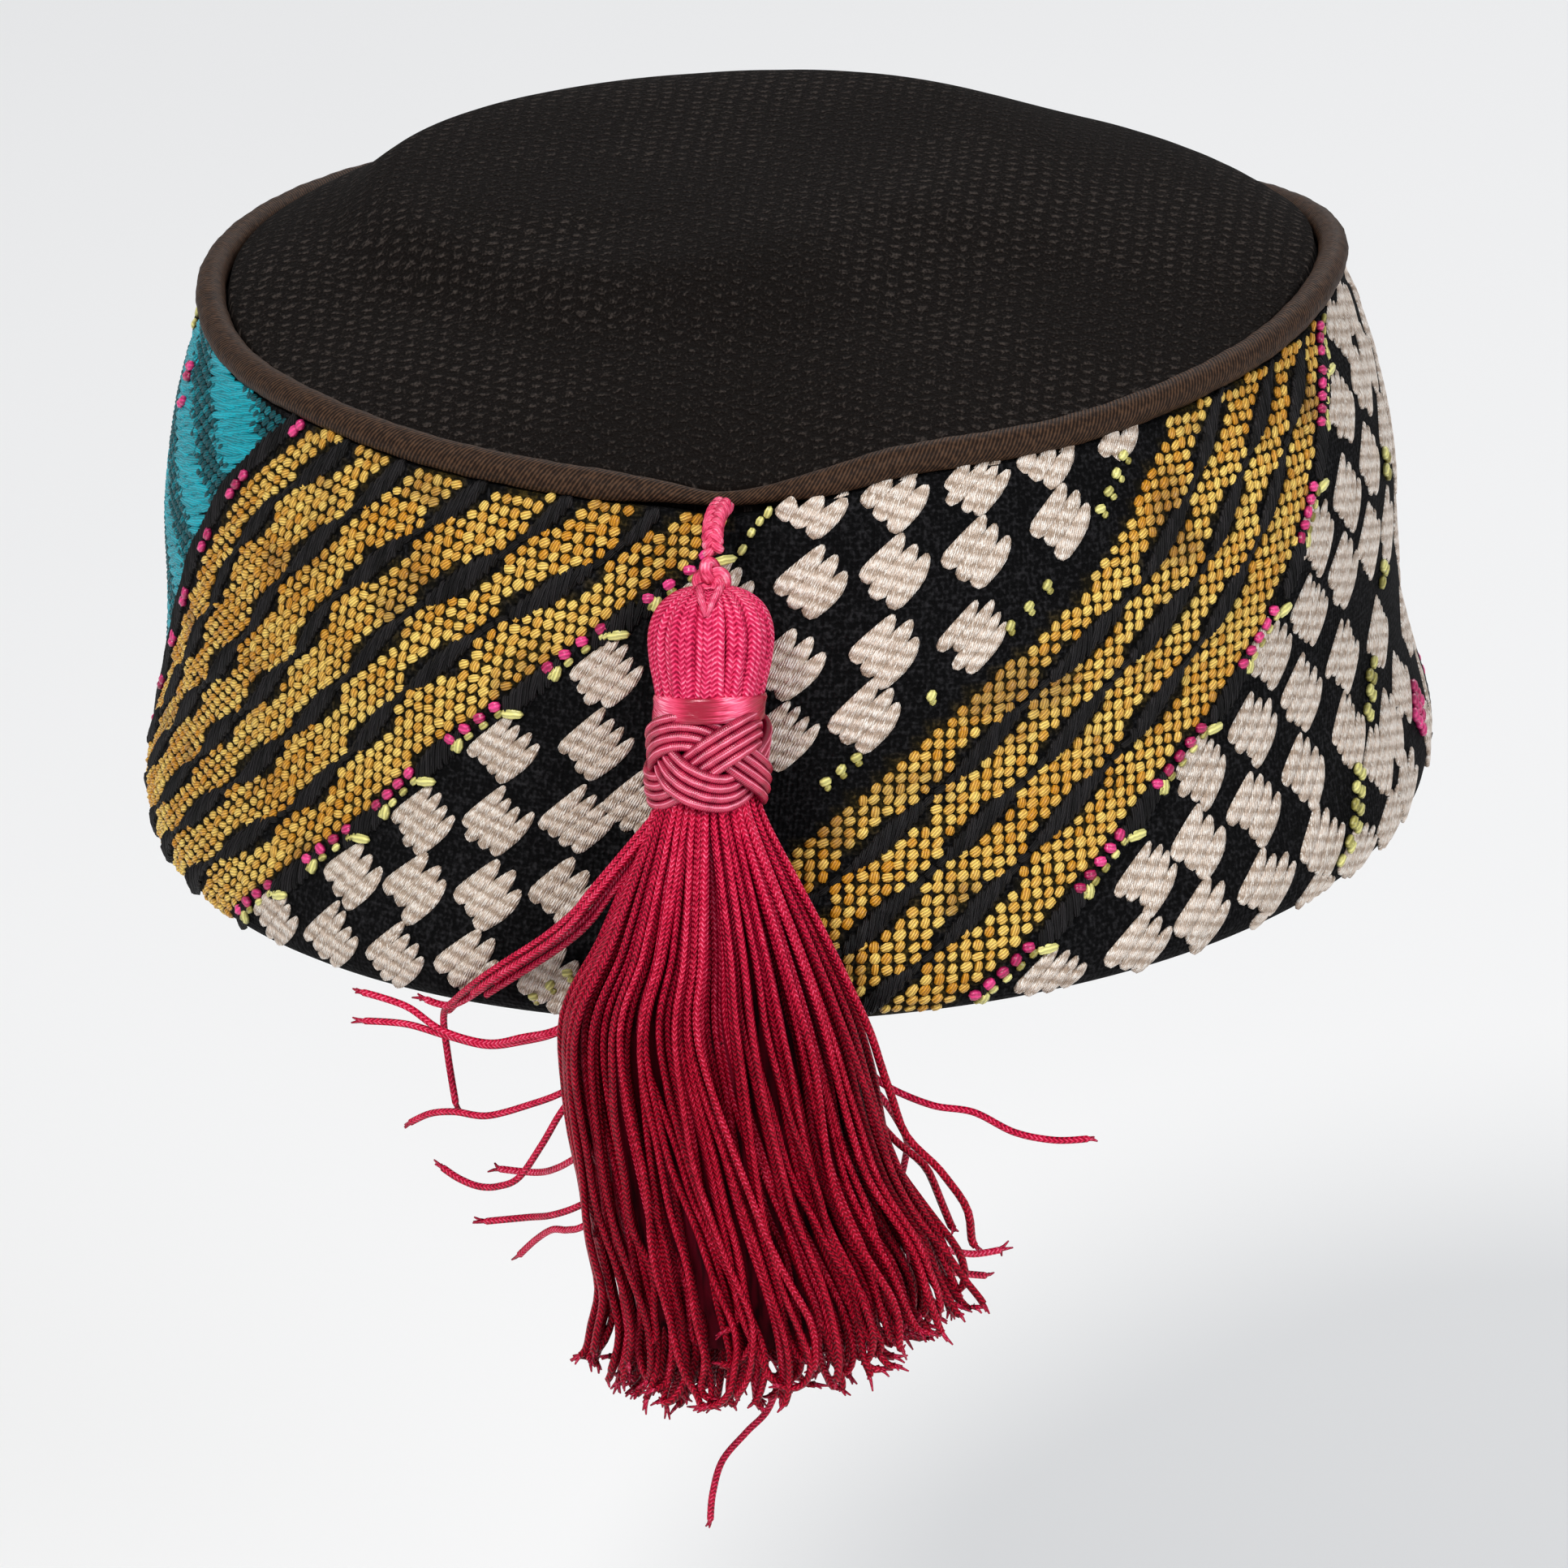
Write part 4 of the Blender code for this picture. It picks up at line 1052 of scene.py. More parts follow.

# %% [markdown]
# ## Canvas crown
# The crown is one oval of coarse black canvas, domed where a head pushes it up. It is skinned in spokes from
# the same rule as its solid. Its ribs run from front to back, fine grey fibres show on it, and its raised knots are
# painted lighter, as painted highlights.

# %% Crown sizes
CROWN_WALL, CROWN_MIDDLE_HEIGHT, MOUND_POWER_FRONT, MOUND_POWER_BACK = 1.6, 87.4, 2.0, 8.6
CROWN_ALLOWANCE, CROWN_TUCK, CROWN_EDGE_RISE, CROWN_EDGE_FALL, SEWN_GAP = 9.0, 3.2, 0.6, 1.3, 0.32
DOME_RISE, DOME_REACH, DOME_EDGE_SHARP, DOME_EDGE_SOFT, DOME_SOFT_TURN = 3.7, 0.76, 0.12, 0.41, 58.0
DOME_MIDDLE = (-5.3, 18.4)
PIPING_RADIUS, PIPING_END_RADIUS, PIPING_END_TURN, PIPING_END_SINK = 2.2, 1.0, 14.0, 1.0


def crown_height(share, turn):
    t = np.radians(turn)
    power = MOUND_POWER_FRONT + (MOUND_POWER_BACK - MOUND_POWER_FRONT) * ease(0.5 - 0.9 * np.cos(t))
    fall = share ** power
    mound = seam_height(turn) * fall + CROWN_MIDDLE_HEIGHT * (1 - fall)
    from_dome = np.hypot(share * np.sin(t) - DOME_MIDDLE[0] / SEAM_HALF_WIDTH,
                         -share * np.cos(t) - (DOME_MIDDLE[1] - SEAM_SHIFT_BACK) / (SEAM_HALF_WIDTH * DEPTH_SHARE))
    softness = 0.5 * (1 + np.cos(t - math.radians(DOME_SOFT_TURN)))
    edge = DOME_EDGE_SHARP + (DOME_EDGE_SOFT - DOME_EDGE_SHARP) * softness
    return mound + DOME_RISE * ease((DOME_REACH - from_dome) / edge)


def crown_point(share, turn, inset=0.0):
    step = 0.01
    rise = crown_height(share + step, turn) - crown_height(np.maximum(0, share - step), turn)
    slope = rise / (2 * step * SEAM_HALF_WIDTH)
    size = np.hypot(1.0, slope)
    flat = on_oval(turn, SEAM_HALF_WIDTH * share + inset * slope / size, MEAN_SEAM_HEIGHT)
    flat[..., 2] = crown_height(share, turn) - inset / size
    return flat


# %% Crown finish and mesh
RIB_PITCH, KNOT_PITCH = 2.45, 2.9


def canvas():
    finish = Finish("black_canvas", 0.95, specular_ior_level=0.08)
    x, y, _ = finish.parts(finish.place())
    drift = finish.noise(finish.place(), 140.0)
    rib = ((x * 1000 / RIB_PITCH + drift * 0.7) * math.pi).sine()
    knot = (y * 1000 / KNOT_PITCH + drift * 1.5 + (rib * 3).ease(-1, 1) * 0.5).wave()
    hair = finish.noise(finish.vector(x * 1000.0, y * 560.0, 0.0), 2.2, 5.0)
    worn = finish.noise(finish.place(), 30.0).ease(0.36, 0.6)
    column = abs(rib) ** 1.6
    # painted highlight: the raised knots on the ribs' tops are painted lighter
    painted_knot_light = column * knot.ease(-0.3, 0.9)
    finish.relief(column * 0.4 + painted_knot_light * 0.6 + hair * 1.3, 0.9)
    # lighter on the fibres, and on the knots as painted highlight, which is stronger in the patches of the noise called
    # worn
    speck = (hair + painted_knot_light * (worn * 0.14 + 0.1)).ease(0.52, 0.88)
    finish.colour(finish.mix(speck, (0.0046, 0.0028, 0.0021), (0.058, 0.046, 0.040)))
    return finish


def crown_sheet():
    turns = np.linspace(-180, 180, 241)[:-1]
    upper, under = np.linspace(0.04, 0.965, 40), np.linspace(0.93, 0.08, 14)
    against = SEAM_HALF_WIDTH - PIPING_RADIUS - SEWN_GAP
    spokes = []
    for turn in turns:
        seam = seam_height(turn)
        corner = [(against - 0.2, seam + CROWN_EDGE_RISE), (against + 0.3, seam - CROWN_EDGE_FALL)]
        tucked = [(band_inside(turn, seam - d) - SEWN_GAP, seam - d) for d in (CROWN_TUCK, CROWN_ALLOWANCE)]
        corner += tucked + [(w - CROWN_WALL, h) for w, h in reversed(tucked)]
        turned_down = [on_oval(turn, w, h) for w, h in corner]
        spokes.append(np.concatenate([crown_point(upper, turn), turned_down, crown_point(under, turn, CROWN_WALL)]))
    top = crown_point(np.float64(0.0), 180.0)
    return skin("canvas_crown", spokes, around=False, along=True, poles=(top, top - [0, 0, CROWN_WALL]))


canvas_crown = hand_in("canvas_crown", crown_sheet(), canvas(), "canvas", "crown_top")

# %% [markdown]
# ## Piping
# The seam is piped: a cord wrapped in a bias strip of brown sateen. It thins out where both ends meet at the
# front. The sateen's fine slanting lines follow the tube by its UV map.


# %% Sateen finish and the piping
def sateen():
    finish = Finish("brown_sateen", 0.55, specular_ior_level=0.1)
    along, around = finish.cloth_place()
    ridge = ((along - around * 0.6) * (2 * math.pi / 0.64)).sine()
    fine = finish.noise(finish.place(), 1300.0, 3.0)
    finish.relief(ridge * 0.4 + fine * 0.8, 0.1)
    finish.colour(finish.mix((ridge * 0.22 + fine).ease(0.3, 0.85), paint(28, 17, 11), paint(80, 57, 41)))
    return finish


PIPE_SIDES = 16
SEAM_SHARE = 0.91  # the seam's length, as a share of the band's cloth


def piping_tube():
    turns = np.linspace(-180, 180, 481)[:-1]
    a = circle(PIPE_SIDES)
    rings, places = [], []
    for turn in turns:
        share = ease(abs(turn) / PIPING_END_TURN)
        middle = SEAM_HALF_WIDTH - PIPING_END_SINK * (1 - share)
        lump = 1 + 0.02 * math.sin(turn * 0.9) + 0.015 * math.sin(turn * 2.3)
        radius = lump * (PIPING_END_RADIUS + (PIPING_RADIUS - PIPING_END_RADIUS) * share)
        rings.append(on_oval(turn, middle + radius * np.cos(a), seam_height(turn) + radius * np.sin(a)))
        along = np.full(PIPE_SIDES + 1, along_at(turn) * SEAM_SHARE)
        places.append(np.stack([along, np.append(a, 2 * math.pi) * PIPING_RADIUS], -1))
    places.append(places[0] + [ROUND * SEAM_SHARE, 0.0])
    return skin("piping_cord", rings, places=places)


hand_in("piping_cord", piping_tube(), sateen(), "brown_sateen", "piping")

# %% [markdown]
# ## Tassel
# The tassel hangs from the seam's dip. From the top: a short braid, its knot, a ball of cords, a satin
# ribbon, a plaited ring of gimp, and the fringe. All but the ribbon are cord, laid by the cord tree.

# %% Tassel sizes and places
HEAD_X, HEAD_HEIGHT, TASSEL_LEAN, TASSEL_SWAY, HEAD_RADIUS = -1.2, 58.6, 13.8, -0.04, 8.8
HEAD_PROFILE = ((-8.5, 0.12), (-8.1, 0.38), (-6.6, 0.66), (-4.1, 0.88), (-0.9, 1.00), (2.8, 0.98), (5.8, 0.88),
                (7.5, 0.76))  # (how far down, share of the radius)
RIBBON_HEIGHT, RIBBON_RADIUS, KNOT_HEIGHT, KNOT_RADIUS, PART_GAP = 2.6, 8.0, 12.7, 9.1, 0.3
RIBBON_TOP = HEAD_PROFILE[-1][0] + PART_GAP
KNOT_TOP = RIBBON_TOP + RIBBON_HEIGHT + PART_GAP
KNOT_BOTTOM = KNOT_TOP + KNOT_HEIGHT
SKIRT_TOP = KNOT_BOTTOM + PART_GAP
BAND_CLEARANCE, LOOP_RADIUS, LOOP_KNOT_HEIGHT, LOOP_ARCH = 0.5, 1.6, 4.6, 1.5
SKIRT_TOP_HALF, LOCK_RADIUS = (7.6, 6.0), (2.3, 3.6, 3.9, 3.5, 1.7)
BELLY_HEIGHT, BELLY_HALF, BELLY_X, HALFWAY_TUCK = 4.0, (17.0, 6.0), -3.4, 2.2
SPREAD_HALF, SPREAD_X, SPREAD_ABOVE_TIP, LOWEST_TIP = (22.0, 5.6), 5.4, 9.0, (-8.0, -52.5)
TIP_RISE_LEFT, TIP_RISE_RIGHT = 0.030, 0.0095


def band_front(height, x):
    at = np.clip(height, 0.0, BAND_TOP)
    width = band_outside(0.0, at)
    bulge = math.sqrt(1 - min(0.99, abs(x) / width) ** 2)
    return SEAM_SHIFT_BACK * at / MEAN_SEAM_HEIGHT - DEPTH_SHARE * width * bulge


HEAD_Y = band_front(HEAD_HEIGHT, HEAD_X) - HEAD_RADIUS - BAND_CLEARANCE
BELLY_Y = band_front(8.0, BELLY_X) - BELLY_HALF[1] - LOCK_RADIUS[1] - BAND_CLEARANCE


def on_tassel(down, out_x, out_ahead, angle):
    """A point on an oval round the tassel's axis, at a distance down it from the middle of the ball."""
    lean = math.radians(TASSEL_LEAN)
    down, out_x, out_ahead, angle = np.broadcast_arrays(down, out_x, out_ahead, angle)
    ahead = out_ahead * np.sin(angle)
    x = HEAD_X + TASSEL_SWAY * down + out_x * np.cos(angle)
    y = HEAD_Y - down * math.sin(lean) - ahead * math.cos(lean)
    return np.stack([x, y, HEAD_HEIGHT - down * math.cos(lean) + ahead * math.sin(lean)], -1)


# %% Cord finishes
STITCH_PITCH, STITCH_DEPTH = 0.74, 0.14


def chainette(name, low, high=None, heights=None, lift=0.15):
    """Knitted rayon cord: rows of small slanting stitches that meet in a V, three rows of them round the cord. The
    stitches get painted highlights and painted shade, and the cord's sides painted shade.
    """
    finish = Finish(name, 0.34, specular_ior_level=0.3, specular_tint=(1.0, 0.3, 0.42, 1.0))
    way, front, side = finish.cord_place()
    tone = finish.attribute("tone")
    turn = side.maths("ARCTAN2", side, front) + (tone - 0.5) * 1.5
    column = turn.maths("PINGPONG", turn, math.pi / 3) / (math.pi / 3)
    stitch = (way * 1000 / STITCH_PITCH + column * 0.85 + tone * 5.0).wave()
    # each stitch's light crest and dark hollow are painted highlight and painted shade
    grain = (stitch * 0.5 + 0.5) ** 1.2 * ((column * math.pi).sine() * 0.3 + 0.7)
    edge = column.ease(0.55, 1.0)
    painted_gloss = finish.noise(finish.place(), 900.0, 3.0)
    # painted shade at the cord's edges and sides, painted highlights in noise patches, and a random tone for each cord
    share = grain * 0.6 + lift - edge * 0.12 + (front - 0.6) * 0.24 + (tone - 0.5) * 0.24 + (painted_gloss - 0.5) * 0.7
    stops = (0.0, 0.24, 0.62, 0.95)
    colour = finish.ramp(share, stops, low)
    # lower down the fringe the darker colours take over: painted shade
    if high:
        _, _, height = finish.parts(finish.place())
        colour = finish.mix((height * 1000.0).ease(*heights), colour, finish.ramp(share, stops, high))
    finish.colour(colour)
    finish.relief(grain, STITCH_DEPTH)
    return finish


def silk(name, steps):
    """A soft glossy strand of fine threads with a slight twist. Its folds get painted highlights and painted shade from
    a noise, and its face is painted lighter than its sides.
    """
    finish = Finish(name, 0.34, specular_ior_level=0.5, specular_tint=(1.0, 0.6, 0.7, 1.0))
    way, front, side = finish.cord_place()
    turn = side.maths("ARCTAN2", side, front)
    blotch = finish.noise(finish.place(), 700.0, 3.0)
    threads = (turn * 9.0 + way * (1000 * 2 * math.pi / 2.6) + blotch * 7.0).sine()
    # painted highlights and painted shade from the noise, and lighter where the strand faces out
    finish.colour(finish.ramp(blotch * 1.7 + threads * 0.09 + front * 0.42 - 0.62, (0.0, 0.3, 0.68, 1.0), steps))
    finish.relief(threads * 0.4 + blotch * 1.6, 0.16)
    return finish


# each set goes dark, body, light, then a painted highlight; the fringe's lower cords take the darker steps, as painted
# shade
PINK_STEPS = (paint(134, 6, 46), paint(196, 24, 72), paint(238, 66, 114), paint(255, 158, 186))
CRIMSON_STEPS = (paint(100, 0, 24), paint(172, 6, 44), paint(226, 34, 80), paint(252, 126, 158))
LOWER_SHADE_STEPS = (paint(74, 0, 10), paint(130, 0, 20), paint(184, 8, 42), paint(236, 78, 114))
pink_cord = chainette("pink_cord", PINK_STEPS, lift=0.11)
fringe_cord = chainette("fringe_cord", LOWER_SHADE_STEPS, CRIMSON_STEPS, (-6.0, 36.0), lift=0.1)
loose_cord = chainette("loose_cord", CRIMSON_STEPS)
pink_silk = silk("pink_silk", (paint(132, 6, 44), paint(206, 40, 84), paint(244, 88, 128), paint(255, 168, 192)))


def tassel_middle(points):
    """The tassel's middle line, level with each point."""
    low, high = on_tassel(25.5, 0, 0, 0), on_tassel(-32.0, 0, 0, 0)
    heights = (-50.0, BELLY_HEIGHT, 33.0, 90.0)
    xs, ys = (SPREAD_X, BELLY_X, low[0], high[0]), (BELLY_Y, BELLY_Y, low[1], high[1])
    level = points[:, 2]
    return np.stack([np.interp(level, heights, xs), np.interp(level, heights, ys), level], -1)


# %% Braided loop
def loop_line(t):
    out = PIPING_END_RADIUS + LOOP_RADIUS + SEWN_GAP
    seam_y = SEAM_SHIFT_BACK - DEPTH_SHARE * (SEAM_HALF_WIDTH - PIPING_END_SINK)
    start = np.array((0.0, seam_y - DEPTH_SHARE * out, float(seam_height(0.0))))
    end = on_tassel(HEAD_PROFILE[0][0] - LOOP_KNOT_HEIGHT - 4 * PART_GAP, 0, 0, 0)
    bend = np.array((end[0], end[1] + LOOP_ARCH, start[2] + LOOP_ARCH))
    t = np.asarray(t)[..., None]
    return (1 - t) ** 2 * start + 2 * t * (1 - t) * bend + t**2 * end


BRAID_LENGTH, BRAID_PITCH, BRAID_WIDE, BRAID_DEEP, STRAND_RADIUS = 12.5, 6.2, 0.9, 0.62, 0.68


def braid_routes():
    t = np.linspace(-0.04, 1.34, 76)
    middle = loop_line(t)
    down = unit(np.gradient(middle, axis=0))
    side = np.array((1.0, 0.0, 0.0))
    ahead = np.cross(down, side)
    turn = t * BRAID_LENGTH / BRAID_PITCH * 2 * math.pi
    routes = []
    for k in range(3):
        a = turn + 2 * math.pi * k / 3
        strand = middle + BRAID_WIDE * np.sin(a)[:, None] * side + BRAID_DEEP * np.sin(2 * a)[:, None] * ahead
        routes.append((strand, STRAND_RADIUS + 0.04 * np.sin(3 * a)))
    return routes


lay_cords("braided_loop", braid_routes(), pink_silk, "pink_cord", "tassel_loop", sides=10)


# %% Knot of the loop
def loop_knot_routes():
    """The cord tied round itself: it goes round twice while it crosses three times, drawn tight."""
    down = HEAD_PROFILE[0][0] - PART_GAP - LOOP_KNOT_HEIGHT / 2 + 2.5
    middle = on_tassel(down, 0, 0, 0) + np.array((0.0, -0.9, 0.0))
    axis = unit(np.array((0.45, -0.7, 0.35)))
    first = unit(np.cross(axis, (0.0, 0.0, 1.0)))
    second = np.cross(axis, first)
    a = np.linspace(0, 2 * math.pi, 97)[:-1, None]
    wide = 1.22 + 0.78 * np.cos(3 * a)
    knot = wide * np.cos(2 * a + 0.4) * first + 1.15 * wide * np.sin(2 * a + 0.4) * second + 0.78 * np.sin(3 * a) * axis
    return [(middle + knot, 0.92)]


lay_cords("loop_knot", loop_knot_routes(), pink_silk, "pink_cord", "tassel_loop_knot", sides=12, closed=True)

BALL_PROFILE = ((-7.1, 0.14), (-6.8, 0.38), (-5.9, 0.64), (-3.9, 0.88), (-0.9, 1.00), (2.8, 0.98), (5.8, 0.91),
                (7.6, 0.87), (9.2, 0.84))  # (how far down, share of the radius), where the cords lie


def knot_tails():
    """Two short ends of the knot, which meet in a V on the ball's face."""
    routes = []
    for sign in (-1, 1):
        downs = np.array((-7.4, -6.8, -6.0, -5.0, -3.6))
        outs = HEAD_RADIUS * smooth_value(BALL_PROFILE, downs) + np.array((1.2, 0.7, 0.35, 0.2, 0.1))
        swing = np.arcsin(np.array((1.5, 1.3, 0.95, 0.5, 0.08)) / outs) * sign
        routes.append((on_tassel(downs, outs, outs, math.pi / 2 + swing), np.array((0.6, 0.6, 0.58, 0.5, 0.3))))
    return routes


lay_cords("knot_tails", knot_tails(), pink_silk, "pink_cord", sides=10)


# %% Ball of cords
BALL_CORDS = 44


def ball_routes():
    routes = []
    downs = np.concatenate([np.linspace(-7.1, -5.9, 7), np.linspace(-5.4, 8.9, 24)])
    outer = HEAD_RADIUS * smooth_value(BALL_PROFILE, downs)
    thick = 0.44 + 0.42 * ease((downs + 8) / 6)
    for k in range(BALL_CORDS):
        a = 2 * math.pi * (k + 0.1 * chance.normal()) / BALL_CORDS
        sway = 0.04 * chance.normal() * np.sin((downs + 8) / 16 * math.pi)
        radius = np.maximum(0.25, outer - thick) + 0.12 * chance.normal()
        routes.append((on_tassel(downs, radius, radius, a + sway), thick * (1 + 0.05 * chance.normal())))
    return routes


lay_cords("ball_cords", ball_routes(), pink_cord, "pink_cord", "tassel_head", sides=8, middle_line=tassel_middle)


# %% Core and ribbon
def turned(rows, sides, waves=0.0):
    """Rings round the tassel's axis, from rows of (how far down, radius)."""
    angles = circle(sides)
    radii = [radius + waves * np.sin(5 * angles + down) for down, radius in rows]
    return [on_tassel(down, radius, radius, angles) for (down, _), radius in zip(rows, radii)]


# The cores are dark red: painted shade, standing for the cords deep inside the ball and the fringe.
core_cloth = Finish("core_thread", 0.8, specular_ior_level=0.1)
core_x, core_y, core_z = core_cloth.parts(core_cloth.place())
core_lines = core_cloth.noise(core_cloth.vector(core_x * 900.0, core_y * 900.0, core_z * 60.0), 1.0)
core_cloth.colour(core_cloth.mix(core_lines.ease(0.35, 0.65), paint(40, 0, 8), paint(104, 2, 26)))
core_rows = [(-6.4, 0.6)] + [(down, max(0.8, HEAD_RADIUS * share - 1.7)) for down, share in HEAD_PROFILE[2:]]
core_rows += [(8.6, 6.2), (KNOT_TOP, 6.3), (KNOT_BOTTOM, 6.3), (KNOT_BOTTOM + 2, 5.6)]
hand_in("tassel_core", skin("tassel_core", turned(core_rows, 24), along=False), core_cloth, "pink_cord")


def satin():
    finish = Finish("satin_ribbon", 0.24, specular_ior_level=0.7, specular_tint=(1.0, 0.7, 0.8, 1.0))
    x, y, z = finish.parts(finish.place())
    streak = finish.noise(finish.vector(x * 350.0, y * 350.0, z * 7000.0), 1.0, 3.0)
    # painted highlights and painted shade in broad bands across the ribbon, with the noise's streaks; the last step is
    # a painted highlight
    painted_light_band = ((x * 1000.0 - HEAD_X) * (2 * math.pi / 10.0) + 4.7 + streak * 1.6).sine()
    steps = (paint(150, 14, 44), paint(212, 50, 88), paint(246, 96, 136), paint(255, 186, 208))
    finish.colour(finish.ramp((painted_light_band * 0.34 + streak * 1.3 - 0.33).ease(0.0, 1.0), (0.0, 0.4, 0.75, 1.0), steps))
    finish.relief(streak, 0.05)
    return finish


RIBBON_PROFILE = ((-0.03, 0.93), (0.02, 0.985), (0.2, 1.0), (0.45, 0.985), (0.7, 0.98), (0.95, 0.985), (1.35, 0.985),
                  (1.4, 0.93))  # (share of the height, share of the radius)
RIBBON_INSIDE = 6.4
ribbon_rows = [(RIBBON_TOP + RIBBON_HEIGHT * t, RIBBON_RADIUS * r) for t, r in RIBBON_PROFILE]
ribbon_rows += [(RIBBON_TOP + 1.4 * RIBBON_HEIGHT, RIBBON_INSIDE), (RIBBON_TOP - 0.03 * RIBBON_HEIGHT, RIBBON_INSIDE)]
hand_in("ribbon_band", skin("ribbon_band", turned(ribbon_rows, 96, 0.11)), satin(), "pink_ribbon", "tassel_ribbon")


# %% Plaited ring of gimp
LEADS, BIGHTS, LANES, LANE_APART, GIMP_RADIUS = 3, 4, (-1.5, -0.5, 0.5, 1.5), 1.36, 0.74


def plait_routes():
    """A three-lead, four-bight plait. Four gimp cords run side by side, over one and under the next."""
    t = np.linspace(0, 2 * math.pi, 361)[:-1]
    middle_down = (KNOT_TOP + KNOT_BOTTOM) / 2 - 0.25
    reach, mean = 4.35, KNOT_RADIUS - 1.45
    around, along_axis = LEADS * t * mean, reach * np.cos(BIGHTS * t + 0.5)
    d_around, d_axis = np.full_like(t, LEADS * mean), -BIGHTS * reach * np.sin(BIGHTS * t + 0.5)
    length = np.hypot(d_around, d_axis)
    routes = []
    for lane in LANES:
        angle = (around - d_axis / length * lane * LANE_APART) / mean
        down = middle_down + along_axis + d_around / length * lane * LANE_APART
        tuck = 0.055 * np.clip(np.abs(down - middle_down) - 3.2, 0, None) ** 2
        radius = mean + 0.78 * np.sin(2 * BIGHTS * t + 1.0) - tuck
        routes.append((on_tassel(down, radius, radius, angle), GIMP_RADIUS))
    return routes


def gimp():
    """Cord wound with fine thread. Its crest gets one thin painted highlight line, and its sides are painted duller, as
    painted shade.
    """
    finish = Finish("pink_gimp", 0.2, specular_ior_level=0.9, specular_tint=(1.0, 0.7, 0.8, 1.0))
    way, front, side = finish.cord_place()
    painted_gloss = finish.noise(finish.place(), 500.0, 3.0)
    wound = (way * 1000 / 0.3 + side * 0.35 + painted_gloss * 0.6).wave()
    # painted highlight: a thin pale line along each cord's crest
    painted_crest = 1 - abs(side - 0.28 + (painted_gloss - 0.5) * 0.4).ease(0.03, 0.20)
    # painted light and shade: lighter where the cord faces out, darker on its sides
    painted_lit = (painted_gloss + wound * 0.2 + front * 0.3 - abs(side) * 0.3).ease(0.15, 0.9)
    body = finish.mix(painted_lit, paint(104, 2, 30), paint(200, 42, 80))
    finish.colour(finish.mix(painted_crest * front.ease(0.2, 0.6) * (painted_gloss * 1.5 - 0.05), body, paint(255, 150, 178)))
    finish.relief(wound * 0.5 + 0.5, 0.03)
    return finish


lay_cords("plaited_ring", plait_routes(), gimp(), "pink_cord", "tassel_knot", sides=10, closed=True,
          middle_line=tassel_middle)

# %% [markdown]
# ## Fringe
# About two hundred cords fan out from under the ring, over the hem's bulge and down to uneven ends. They lie
# in five layers round a dark middle, painted shade for the cords inside, so little light shows through. A few stray
# cords stick out.

# %% Fringe cords
CORD_RADIUS, LOCKS = 0.57, 26
FRINGE_LAYERS = ((46, 1.0, 0.06), (46, 0.89, 0.07), (44, 0.76, 0.09), (40, 0.6, 0.1),
                 (26, 0.38, 0.1))  # (number of cords, share of the way out, spread)
FRINGE_STEPS = np.concatenate([np.linspace(0, 1, 5)[:-1], np.linspace(1, 6, 38)])  # between a cord's seven points
CORE_RINGS = ((BELLY_HEIGHT, BELLY_X, 14.4, 5.6), (-22.0, 0.4, 16.6, 5.4), (-34.0, 1.9, 16.4, 4.6),
              (-43.0, 2.6, 13.0, 3.0))  # (height, x, half width, half depth)


def waver(t, rates, swings):
    """A cord's sway to the side and ahead, each a sine of some rate and swing between the two given."""
    return np.stack([np.sin(t * chance.uniform(*rates) + chance.uniform(0, 6)) * chance.uniform(*swings)
                     for _ in range(2)], -1)


